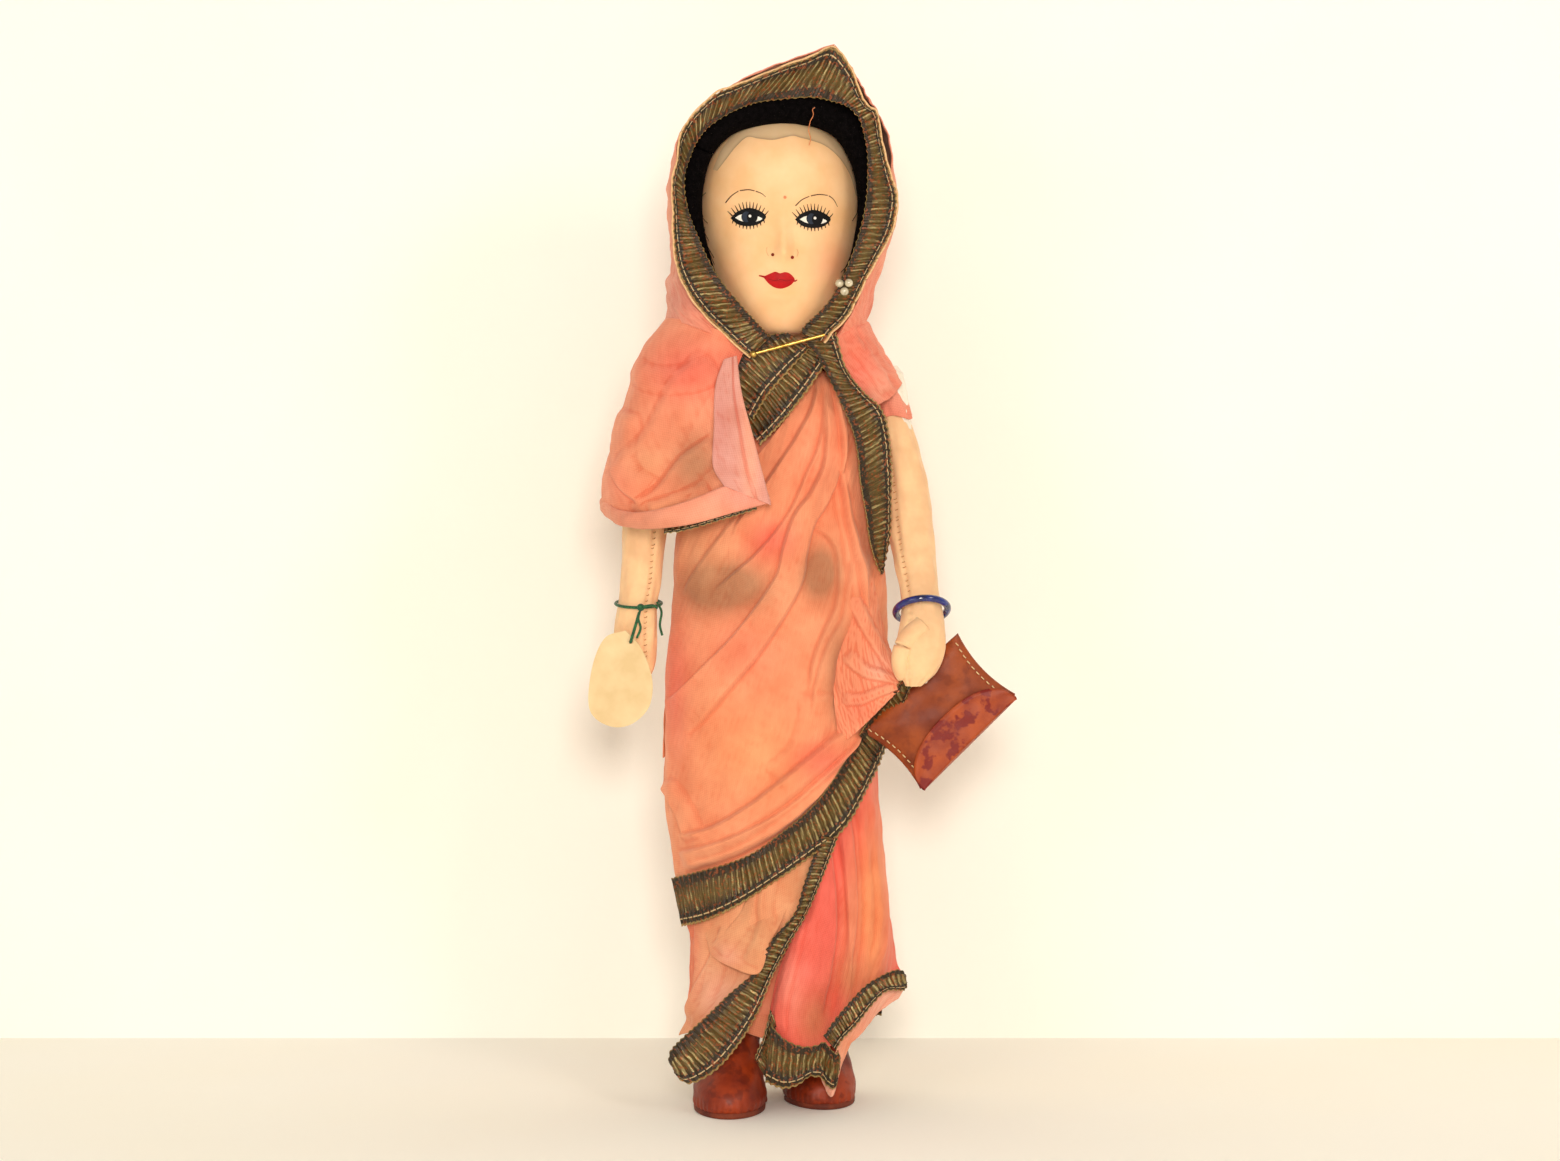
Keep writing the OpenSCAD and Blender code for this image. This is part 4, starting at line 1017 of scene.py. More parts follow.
    def pleats(self) -> Cloth:
        """The pleats between the legs: deep upright folds that spread over the left shoe."""
        rows = (((5, 80, -1), (8, 82, -1), (11, 85, -0.6), (15, 89, -0.6), (18.6, 92, -0.8), (20, 94, -3)),
                ((3.6, 64, -0.6), (6, 66, 0.6), (9, 67, -0.8), (13, 69, 0.4), (17.6, 74, 0.8), (20.6, 76, -3)),
                ((-2.4, 48, -0.6), (3, 49, 1.6), (10, 50, -0.4), (13.6, 51, 0.6), (20.8, 54, 1.4), (22.6, 56, -4)),
                ((-6.4, 38, -0.8), (1, 38, 2.2), (10.4, 38, -0.6), (14, 39, 1.6), (21.6, 42, 2.4), (24.6, 43, -4)),
                ((-8.6, 28, -0.2), (-2, 28, 3), (7.6, 27.4, 0), (12.6, 30, 2.8), (20.4, 35, 3.8), (25.4, 37, -2)),
                ((-8.8, 20.6, 2.6), (-3, 19, 5), (5.4, 18.4, 5), (10, 21.6, 4.6), (15.6, 30, 5), (26.6, 34.6, 1)))
        folds = (Fold(((7, 84), (9.6, 66), (10.6, 50), (9, 36), (6, 24)), -1.3, (0.8, 1.4), 1.4, 1.4),
                 Fold(((12.6, 86), (15, 70), (16, 52), (13.6, 36), (11, 26)), -1.1, (0.8, 1.4), 1.6, 1.2),
                 Fold(((0, 52), (-3, 40), (-5.4, 30), (-6, 22)), 0.9, (1, 1.5), 1.2, 2.2),
                 Fold(((18.6, 84), (20.2, 66), (21.4, 50), (19.6, 38)), 0.9, (1, 2), 1.4, 1.4))
        dye = Dye(HOT, ((12.6, 46, 2.6, 26, TAN, 0.5), (18.6, 52, 4, 26, "#f2a26c", 0.9), (3, 26, 5, 8, "#c07850", 0.8),
                        (13, 36, 5, 6, "#c98a60", 0.6), (1, 44, 4, 14, "#f27c6e", 0.6), (-3, 34, 3, 8, PALE, 0.3),
                        (7, 75, 4, 8, "#f07060", 0.5)))
        return Cloth("sari_pleats_cloth", self.net(rows, 2.2, (190, 190)), dye, ["sari_pleats"], folds, 0.12, 9, 31,
                     hold="gathered", slot="sari_pink_muslin")

    def pleat_lobes(self) -> Cloth:
        """The turned-up hem under the border at the left shoe: a wavy strip that shows the cloth's inner face."""
        run = np.linspace(0, 1, 150)
        top = spline(((4, -22.6, 18), (7.4, -22.8, 15), (10.4, -21.8, 21), (15.6, -20, 27), (22, -15.4, 33),
                      (27.4, -9.4, 34)), 150)
        drop = np.interp(run, [0, 0.12, 0.3, 0.4, 0.5, 0.62, 0.8, 0.93, 1], [6, 9.4, 10.6, 8, 5, 5.4, 5.6, 4.6, 2])
        v = np.linspace(0, 1, 26)
        points = top[None].repeat(26, 0).copy()
        points[..., 2] -= v[:, None] * drop
        points[..., 1] += 1.2 + v[:, None] * (1.2 + 1.1 * np.sin(run * 19))
        dye = Dye(PALE, ((12, 18, 6, 6, SALMON, 0.7),))
        return Cloth("sari_pleats_turnup", points, dye, [], (), 0.15, 7, 37, slot="sari_pink_muslin")

    def make(self, muslin: bpy.types.Material, zari: bpy.types.Material) -> None:
        """Builds every sheet that stays on the body, with the borders sewn on it."""
        borders = self.borders(zari)
        turnup = self.pleat_lobes()
        turnup_piece = turnup.make(muslin)
        for cloth, rests, hems in (
                (self.wrap(), ["sari_skirt_cloth", "blouse_body"], ["wrap_border", "chest_border", "side_border"]),
                (self.back(), ["sari_skirt_cloth", "blouse_body"], ["back_border"]),
                (self.skirt(), ["petticoat"], ["skirt_border"]),
                (self.front_fall(), ["sari_skirt_cloth"], ["fall_border"]),
                (self.lobe(), ["sari_front_cloth"], []),
                (self.pleats(), ["sari_skirt_cloth"], ["pleats_border", "side_pleat_border"])):
            declare(cloth.make(muslin), cloth, rests, [borders[name] for name in hems])
        declare(turnup_piece, turnup, ["sari_pleats_cloth"])

    def borders(self, zari: bpy.types.Material) -> dict[str, bpy.types.Object]:
        """Every gilt border on the body, by its short name."""
        layers = {
            "wrap_border": [trim_patch(on_front(self.border_outer, 3.7), on_front(self.border_inner, 3.3), 2)],
            "chest_border": [
                trim_patch(((-11.3, -16.2, 176.6), (-6, -16.4, 182), (0, -16.6, 189.4), (6.6, -17.4, 199)),
                           ((-17.4, -15.2, 186), (-12.6, -15.6, 191), (-7.4, -16.2, 197), (-1.4, -17, 203.4)), 5),
                trim_patch(((-13, -16.6, 183.6), (-9, -17, 190), (-3, -17.6, 197), (1.4, -18.4, 201.6)),
                           ((-21, -16.8, 189.6), (-17.6, -17.6, 198), (-10, -18.6, 204.6), (-4, -19.2, 206)), 6)],
            "side_border": [trim_patch(
                ((8.4, -19.6, 206), (11, -19.4, 197), (15.4, -17.4, 191), (20, -14.2, 186.4), (22.2, -11.6, 180),
                 (23, -10.4, 168), (22.8, -10, 156), (21.4, -10.6, 146), (20.6, -11, 142.4)),
                ((-0.4, -20.6, 204.6), (4.4, -19.2, 199), (8.8, -17.8, 190), (12.4, -16.4, 182), (14, -15.8, 175),
                 (15.4, -15.6, 164), (17, -15.4, 154), (18.8, -14.6, 146), (20, -13, 142.4)), 8, 0.5)],
            "fall_border": [
                trim_patch(((9, -18.6, 73.4), (4.6, -19.6, 62), (0.8, -20.6, 53.6), (-3.6, -21.4, 46), (-8, -22.4, 37.6),
                            (-12, -23.2, 27.8), (-17, -23.8, 19.6), (-23, -24, 12.8), (-29.6, -23, 9.2),
                            (-33.4, -21.4, 11.2)),
                           ((4.6, -18.6, 74), (0.6, -19.6, 62), (-2.2, -20.8, 53.6), (-8, -21.4, 47),
                            (-12.4, -21.8, 38.8), (-19.4, -22.8, 32.6), (-25.6, -23.4, 26.6), (-31, -22.8, 21.6),
                            (-34.6, -21.4, 17.4), (-35.2, -20.4, 14)), 11)],
            "pleats_border": [
                trim_patch(((-9.8, -23, 9.6), (-5.4, -24.4, 8.2), (-1.4, -24.9, 9.2), (1.6, -24.7, 11.4),
                            (4.6, -24.3, 11), (6.4, -23.4, 8.6), (8.6, -22.8, 8), (9.4, -23.4, 12.6)),
                           ((-8.2, -23, 24.4), (-4.6, -24.5, 21), (-0.4, -25, 19.2), (3.4, -25, 19.4),
                            (5.6, -25.1, 20.4), (7.6, -25.2, 18.4), (8.6, -25, 17.4), (8.8, -24.4, 18)), 13),
                trim_patch(((-8.6, -21, 28), (-10, -21.6, 22), (-11.6, -21.8, 18), (-12.6, -21.4, 15.4)),
                           ((-7, -21.4, 24), (-8, -22, 18.6), (-8.8, -22, 14), (-9.8, -21.8, 10.6)), 14)],
            "side_pleat_border": [trim_patch(
                ((8.6, -22.6, 18), (10.6, -22.6, 21), (14, -21.6, 24.4), (18.4, -19.4, 29.6), (22, -16.4, 32.4),
                 (26.6, -11.4, 31.8), (27.6, -9.4, 33)),
                ((5.6, -22, 21.4), (8, -21.6, 25), (11.4, -20.6, 29), (16, -18.6, 33.6), (20, -16, 35.8),
                 (25, -12, 37.2), (27.2, -9.4, 35.6)), 17)],
            "back_border": [self.round_border(range(22, 154, 6), 93.6, 104.6, 4.2, 19)],
            "skirt_border": [self.round_border(range(26, 156, 6), 21.5, 32.6, 2.2, 23)],
        }
        made = {}
        for name, patches in layers.items():
            nodes = [name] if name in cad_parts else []
            piece = Piece(name + "_zari", join(patches), zari, "zari_ribbon", Body.TORSO.value, nodes, 0.35, -1.0)
            made[name] = piece.make()
        return made

    def round_border(self, angles: Sequence, low: float, high: float, out: float, seed: int) -> Patch:
        """A level border round the back between two heights, waved with the cloth's folds."""
        turn = np.array(angles, float)
        wave = 0.5 * np.sin(np.radians(turn) * 7.5)
        edges = [COLUMN.around(turn, np.full(len(turn), z) + wave, out + wave) for z in (low, high)]
        return trim_patch(edges[0], edges[1], seed, 0.2, (0, 1, 0))


@dataclass
class Shoulders:
    """The cloth over the shoulders: the pallu round the right arm, the left shoulder's fold, the held corner."""

    hem_low: Sequence = (
        (-8.3, -25, 162), (-18, -26, 159.4), (-29, -26, 156.4), (-40, -23.6, 155), (-47.8, -17.4, 155.6),
        (-52.2, -7, 157.8), (-53, 2, 158.8), (-50, 11, 157.6), (-44, 16.6, 156.8), (-34, 19.4, 157), (-27.6, 19.8, 157))
    hem_high: Sequence = (
        (-11.2, -25, 170), (-21, -26, 166.2), (-31, -26, 162.2), (-41, -23.4, 159.6), (-47.8, -17.2, 159.6),
        (-52, -7, 161.6), (-52.6, 2, 162.4), (-49.6, 11, 161), (-44, 16.2, 160.2), (-34, 19, 160.2),
        (-27.6, 19.4, 160.4))

    def right_cape(self) -> Cloth:
        """The pallu round the right upper arm: a net from the neck out over the arm, closed behind."""
        rows = (((-14.6, -19.4, 203), (-24, -20.4, 207.4), (-33.6, -12, 209.6), (-36.8, 0, 208.8), (-34, 12, 208),
                 (-22, 20.4, 208)),
                ((-17.4, -21.8, 195), (-28, -22.2, 199), (-39.6, -13.6, 201), (-43, 0, 201), (-39.6, 13, 200),
                 (-25, 20, 199)),
                ((-16, -22.6, 188.6), (-29, -23, 190), (-42.4, -15, 190.6), (-46.4, 0, 190), (-42.4, 13.6, 190),
                 (-26, 19.6, 190)),
                ((-14.6, -23.4, 180), (-30, -24, 179), (-44.8, -16.4, 179), (-49.4, 0, 179.4), (-44.6, 14.6, 179),
                 (-26.8, 19.4, 179)),
                ((-11.6, -24, 171), (-29, -24.6, 168.6), (-47, -17.4, 168), (-52.8, 0, 168.6), (-46.6, 15, 168),
                 (-27.4, 19.2, 167)),
                ((-8.8, -24, 162.6), (-27, -24.8, 158.6), (-46, -18, 156.6), (-53.2, -2, 159.6), (-46.6, 14.4, 157.6),
                 (-27.6, 19, 157.6)))
        folds = (Fold(((-46, 186), (-48, 176), (-46, 168), (-40, 163)), 1.4, (2, 4), 4, 1.4),
                 Fold(((-24, 200), (-32, 190), (-38, 178), (-46, 168), (-50, 163)), 0.9, (3, 5), 5, 3),
                 Fold(((-22, 178), (-30, 172), (-36, 164), (-44, 158)), 1.1, (2, 4), 4, 2),
                 Fold(((-24, 166), (-32, 162), (-40, 159)), 0.7, (2, 3), 2, 2),
                 Fold(((-46, 198), (-40, 194), (-30, 194), (-22, 197)), 0.7, (2, 3), 3, 3))
        # the last number is the strength of the painted crease shade
        dye = Dye("#f09c7a", ((-30, 196, 12, 8, HOT, 0.7), (-28, 172, 7, 9, GREY, 0.8), (-42, 180, 8, 12, "#f09470", 0.5),
                              (-48, 166, 6, 8, PINK, 0.4), (-40, 172, 5, 5, TAN, 0.5), (-34, 160, 12, 3.5, TAN, 0.5),
                              (-16, 198, 4, 6, HOT, 0.5)), 0.6)
        return Cloth("sari_shoulder_cloth", net_surface(rows, 210, 300), dye, ["sari_shoulder_right", "sari_pallu"],
                     folds, 0.22, 15, 41, centre=(-36, 0, 0))

    def hem_strip(self) -> Cloth:
        """The pallu's hem, folded up outside: a strip along the lower edge from the front round the arm."""
        low = spline(self.hem_low, 190)
        high = spline(self.hem_high, 190)
        v = np.linspace(0, 1, 24)
        points = low * (1 - v[:, None, None]) + high * v[:, None, None]
        relief = 0.9 * np.sin(np.pi * v)[:, None] ** 0.6 + 0.25 * wrinkles(np.linspace(0, 9, 190)[None], v[:, None], 3)
        # the last number is the strength of the painted crease shade
        dye = Dye("#f0a488", ((-14, 164, 8, 5, "#f0a494", 0.8), (-38, 156, 14, 4, "#d8967a", 0.7)), 0.2)
        return Cloth("pallu_hem", points, dye, [], (), 0.12, 6, 43, relief=relief, hold="folded", centre=(-30, 0, 0))

    def turnback(self) -> Cloth:
        """The turned-back front edge of the pallu: a pale strip from the neck down to the hem's corner."""
        right = ((-17.2, -22.4, 200), (-15.8, -23.6, 190), (-13.4, -24.6, 181), (-10.8, -25.6, 171),
                 (-8.3, -26, 161.4))
        left = ((-20.6, -22.6, 199), (-22.8, -24, 192), (-23.2, -25, 181), (-23.4, -26, 171.6),
                (-20.6, -26.4, 166.4))
        points = np.stack([spline(right, 150)] * 36, axis=1)
        v = np.linspace(0, 1, 36)[None, :, None]
        points = points * (1 - v) + spline(left, 150)[:, None] * v
        relief = 0.6 * np.sin(np.pi * v[0, :, 0])[None] ** 0.5 + np.zeros((150, 36))
        relief = relief - 0.5 * hump(v[0, :, 0][None] + 0 * relief, relief * 0, (0.32, 0), (0.05, 1))
        # the last number is the strength of the painted crease shade
        dye = Dye(LILAC, ((-13.6, 182, 2.6, 30, "#f4b49a", 0.9), (-22, 182, 3, 12, "#d08c84", 0.5)), 0.6)
        return Cloth("pallu_turnback", points, dye, ["pallu_flap"], (), 0.14, 7, 47, relief=relief, hold="folded",
                     centre=(-18, 0, 0))

    def left_cape(self) -> Cloth:
        """The fold over the left shoulder, from the hood's edge to the sleeve."""
        rows = (((8.4, -19, 204.6), (12.2, -14, 210), (14.4, -4, 211.6), (14, 8, 210.6), (8, 18, 208)),
                ((10, -18.4, 199), (15.4, -14, 204), (18, -4, 206), (17.6, 8, 205), (10, 18.4, 202)),
                ((14.2, -16, 192.6), (19, -12.6, 196.4), (21.8, -3, 199.6), (21.4, 8, 198.4), (12, 18, 195)),
                ((19, -12.6, 186.6), (23.4, -9.6, 189), (26.6, -2, 192.6), (26, 7, 191), (15, 16.8, 188)))
        folds = (Fold(((12, 204), (16, 199), (19, 195), (22, 190)), 0.9, (1.4, 2), 2, 1),
                 Fold(((15, 208), (17, 204), (18, 200)), 0.6, (1, 2), 2, 1))
        dye = Dye("#f0937a", ((15, 196, 4, 6, HOT, 0.4), (20, 190, 3, 4, PALE, 0.6)))
        return Cloth("sari_left_shoulder_cloth", net_surface(rows, 90, 130), dye, ["sari_shoulder_left"], folds,
                     0.3, 6, 53, centre=(4, 0, 0))

    def corner(self) -> Cloth:
        """The corner of the wrap that the left hand holds: folds that run together at the palm."""
        rows = (((15.6, -12.4, 152), (18.4, -10.6, 142), (20.6, -10.6, 132), (23, -13.4, 123), (26.6, -18, 116.8)),
                ((11.6, -14, 138), (15.4, -15.4, 130), (18.8, -16.6, 124), (22.6, -18, 119), (26.6, -19.4, 115.6)),
                ((8, -15.6, 117), (12, -17.8, 115), (16.8, -19, 114.6), (21.6, -19.8, 114.4), (26, -19.8, 114.4)),
                ((9.4, -15.4, 98), (12.6, -17.2, 100), (16.8, -18.6, 104), (21.2, -19.6, 108.6), (25.6, -19.6, 113)))
        folds = (Fold(((12, 138), (17, 128), (22, 120), (26, 115.6)), 1.0, (2.5, 1), 1.6, 0.8, (0.1, 0.05)),
                 Fold(((11, 122), (16, 117.4), (21, 116), (25.6, 114.8)), 0.9, (2.4, 0.8), 1.6, 0.8, (0.15, 0.05)),
                 Fold(((10, 110), (15, 110), (20, 112), (25, 113.8)), 0.8, (2, 0.8), 1.2, 0.8, (0.15, 0.05)))
        # the last number is the strength of the painted crease shade
        dye = Dye("#f0a07c", ((20, 118, 4, 4, PALE, 0.6), (15, 108, 5, 5, PINK, 0.5)), 0.6)
        return Cloth("sari_corner_cloth", net_surface(rows, 120, 120), dye, ["sari_corner"], folds, 0.2, 6, 59)

    def make(self, muslin: bpy.types.Material, zari: bpy.types.Material) -> None:
        """Builds the sheets and their gilt pieces; the left shoulder's fold rides on the torso, the rest are left
        unattached.
        """
        peek = trim_patch(((-12, -24.6, 160.4), (-22, -25.4, 157.4), (-31, -25, 154.8), (-36, -23.6, 154)),
                          ((-13, -24, 164), (-22, -24.4, 161), (-31, -24, 158), (-36, -22.6, 157)), 61, 0.0)
        peek_piece = Piece("pallu_zari", peek, zari, "zari_ribbon", None, (), 0.3, -1.0).make()
        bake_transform(peek_piece)
        for cloth, rests in ((self.right_cape(), ["right_sleeve_cloth"]), (self.hem_strip(), ["sari_shoulder_cloth"]),
                             (self.turnback(), ["sari_shoulder_cloth"])):
            piece = cloth.make(muslin, None)
            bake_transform(piece)
            declare(piece, cloth, rests, [peek_piece] if cloth.name == "pallu_hem" else [])
        left = self.left_cape()
        declare(left.make(muslin), left, ["left_sleeve_cloth"])
        corner = self.corner()
        corner_piece = corner.make(muslin, None)
        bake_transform(corner_piece)
        twist = trim_patch(((20.6, -8.6, 93), (22.6, -9.6, 98), (24.6, -11, 104), (27, -16, 109.6), (28.6, -20, 114.4)),
                           ((14.6, -15.8, 100.4), (17.4, -16, 104.4), (20.6, -17.4, 109), (24.2, -20, 113.4),
                            (27.2, -20.8, 117)), 67, 0.3)
        twist_piece = Piece("corner_border_zari", twist, zari, "zari_ribbon", None, ["corner_border"], 0.35, -1.0)
        twisted = twist_piece.make()
        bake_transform(twisted)
        declare(corner_piece, corner, ["sari_wrap_cloth"], [twisted])


@dataclass
class Hood:
    """The end of the sari drawn over the head, pinned under the chin, with its gilt border round the face."""

    rows: Sequence = (
        ((-14, -20.6, 201), (-25, -20.4, 206), (-33.6, -12, 209), (-36.6, 1, 208.6), (-33, 14, 205), (-20, 22, 201),
         (-5, 24.4, 198), (8, 20.4, 200), (15.4, 9, 204), (16.4, -4, 206), (13, -13, 205.4), (8.8, -18.8, 204)),
        ((-21.6, -19, 208), (-29, -16.6, 212), (-34.4, -7, 215), (-35.6, 4, 214.6), (-31.6, 16, 212), (-20, 23, 210),
         (-5, 25.4, 208), (9, 21.6, 210), (17, 10, 212), (17.6, -3, 213), (15.6, -12.6, 212.6), (12, -17.4, 210)),
        ((-28, -18, 217), (-32, -13, 220), (-34, -5, 222.6), (-34.6, 5, 222.6), (-30.4, 16.6, 221.6),
         (-19, 23.6, 221), (-5, 25.8, 220), (9.6, 22.6, 221), (18.6, 12, 222), (20.4, 0, 222.4), (19.4, -11, 221.6),
         (16.4, -17.4, 219)),
        ((-33.2, -17.6, 233), (-34.4, -12, 234.6), (-35.4, -4, 236), (-35, 6, 236), (-30, 17, 236), (-18, 24, 236),
         (-5, 25.8, 236), (9, 23.2, 236), (20, 13.4, 236), (23.6, 1, 236), (24.2, -10, 235.6), (23.6, -17.4, 234)),
        ((-33.4, -17.2, 247), (-34.4, -11, 247.6), (-34.8, -3, 248), (-33.6, 7, 248), (-28.6, 17, 248),
         (-17, 23.4, 248), (-4.4, 25.6, 248), (8.6, 22.6, 248), (19, 13, 248), (23, 1, 248), (23.6, -10, 247.4),
         (23.4, -17, 246)),
        ((-30.6, -17, 259), (-31, -11, 259.6), (-30.6, -3, 260), (-28, 6, 259), (-22.6, 15, 258),
         (-13, 21, 257.4), (-3, 23.2, 257), (7.4, 20.6, 257.4), (16.4, 12.4, 258), (20.4, 1, 259.4),
         (21.6, -10, 259), (21.4, -17, 259)),
        ((-18.4, -17, 270), (-18.4, -11, 269.6), (-17, -4, 268.4), (-14.4, 4, 266.4), (-9.6, 11, 264.4),
         (-4, 15.4, 263.4), (1, 16.6, 263), (6, 15.2, 263.4), (11, 9.6, 265), (14.4, 1, 267), (16, -9, 268),
         (16, -17, 268.6)),
        ((-4, -17.2, 276.2), (-2, -12, 275.4), (0, -5, 273.6), (1.6, 0, 271.6), (2.4, 5, 269.4), (3.4, 8.4, 268),
         (4.2, 9, 267.6), (5.4, 8.2, 268), (7, 4, 270), (9, -2, 272.6), (10.6, -9, 275), (11.4, -17.2, 275.6)),
        ((8.2, -17.4, 280.2), (8, -13, 278.6), (7.4, -7, 276.4), (6.8, -2, 274), (6.2, 2.4, 271.6), (5.6, 5, 270),
         (5.6, 5.4, 269.8), (5.7, 5, 270), (6.3, 2.4, 271.6), (7, -2, 274), (7.8, -7, 276.4), (8.4, -17.4, 280.2)))
    edge_outer: Sequence = (
        (-13.6, 199.8), (-20.8, 206.4), (-26.4, 212), (-30.4, 218), (-32.6, 224), (-33.4, 231), (-33.4, 238),
        (-33.6, 245), (-32.2, 251), (-31.6, 256.4), (-28.6, 261.6), (-22.6, 267.4), (-17.6, 269.4), (-11.4, 271.8),
        (-4, 274.8), (2.2, 277), (5.6, 278.8), (7.8, 279.2), (10.2, 277), (12.8, 272.6), (14.6, 267.6), (16.4, 264.4),
        (18.8, 262.6), (19.8, 257), (21, 251.6), (22.4, 246.6), (24, 241.6), (23.8, 236.6), (22.4, 231.6),
        (19.6, 226.4), (16.4, 220.6), (13.4, 214.4), (11, 210), (7.4, 206.4), (5.4, 203.6))
    edge_inner: Sequence = (
        (-8.6, 204.6), (-12, 208.4), (-16, 212.8), (-21.2, 219), (-25, 225.4), (-27.4, 231), (-29.6, 236.6),
        (-30.8, 242), (-30.6, 247), (-29.4, 251), (-27.8, 255), (-25, 258.6), (-21.2, 261.4), (-16.8, 263.8),
        (-12, 265.4), (-6, 266.2), (-2, 266.6), (2, 266.8), (5, 266.4), (8, 265.6), (11, 264.6), (13.2, 263),
        (15, 260.4), (16.2, 255.6), (16.8, 251), (16.8, 246), (16.6, 241.4), (15.8, 236.4), (14.6, 231.6),
        (12.8, 226), (10.2, 220), (7.2, 214.6), (3.8, 210.8), (0.8, 208), (-0.6, 206))

    def cloth(self) -> Cloth:
        """The hood itself: a net open at the front and closed along its peak."""
        grid = net_surface(self.rows, 260, 330)
        folds = (Fold(((-34, 222), (-33, 216), (-29, 210), (-20, 206)), 0.9, (2, 3), 3, 1.4),)
        x, y, z = grid[..., 0], grid[..., 1], grid[..., 2]
        back = ramp(y, 2, 12)
        relief = back * (0.8 * np.sin((x + 0.25 * z) / 3.6) + 0.5 * np.sin((x - 0.4 * z) / 5.1 + 1))
        relief = relief * (1 - ramp(z, 262, 272)) + (1 - back) * 0.3 * np.sin(z / 3.4 + y / 4)
        dye = Dye("#ee9a80", ((-34, 216, 6, 8, LILAC, 0.8), (-36, 240, 4, 22, PALE, 0.5), (24, 238, 4, 26, PALE, 0.5),
                              (20, 212, 4, 6, HOT, 0.5), (-2, 215, 16, 12, PINK, 0.4), (-6, 245, 10, 12, TAN, 0.35)))
        return Cloth("sari_hood_cloth", grid, dye, ["sari_hood"], folds, 0.32, 9, 71, relief=relief,
                     centre=(-5, 0, 0))

    def depth(self, edge: Sequence, back: float) -> Array:
        """The edge's (x, z) places as points: the border bows forward at the chin."""
        flat = np.asarray(edge, float)
        y = np.interp(flat[:, 1], [199, 204, 210, 226, 250, 280], [-22.4, -21.8, -20.4, -18.6, -18.2, -18.4]) + back
        return np.stack([flat[:, 0], y, flat[:, 1]], axis=-1)

    def selvedge(self) -> Patch:
        """The hood's own pale edge outside the border: a thin cord with the sewing thread's scallops."""
        path = spline(self.depth(self.edge_outer, 0.1), 620)
        middle = np.array([-5, 0, 238.0])
        out = unit((path - middle) * np.array([1, 0, 1]))
        swing = 0.3 + 0.2 * np.abs(np.sin(np.linspace(0, 110, 620)))
        return tubes(path + out * swing[:, None], 0.3, 6, rgb("#e8c49a"))

    def make(self, muslin: bpy.types.Material, zari: bpy.types.Material, thread: bpy.types.Material) -> None:
        """Builds hood, border and edge, unattached, with their transforms applied."""
        border = Piece("hood_border_zari", trim_patch(self.depth(self.edge_outer, 0), self.depth(self.edge_inner, -0.4),
                                                      73, 0.2), zari, "zari_ribbon", None, ["hood_border"], 0.35, -1.0)
        edge = Piece("hood_edge_cord", self.selvedge(), thread, "sewing_thread")
        cloth = self.cloth()
        hood = cloth.make(muslin, None)
        pieces = [hood, border.make(), edge.make()]
        for piece in pieces:
            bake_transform(piece)
        declare(hood, cloth, ["hair_floss"], pieces[1:])


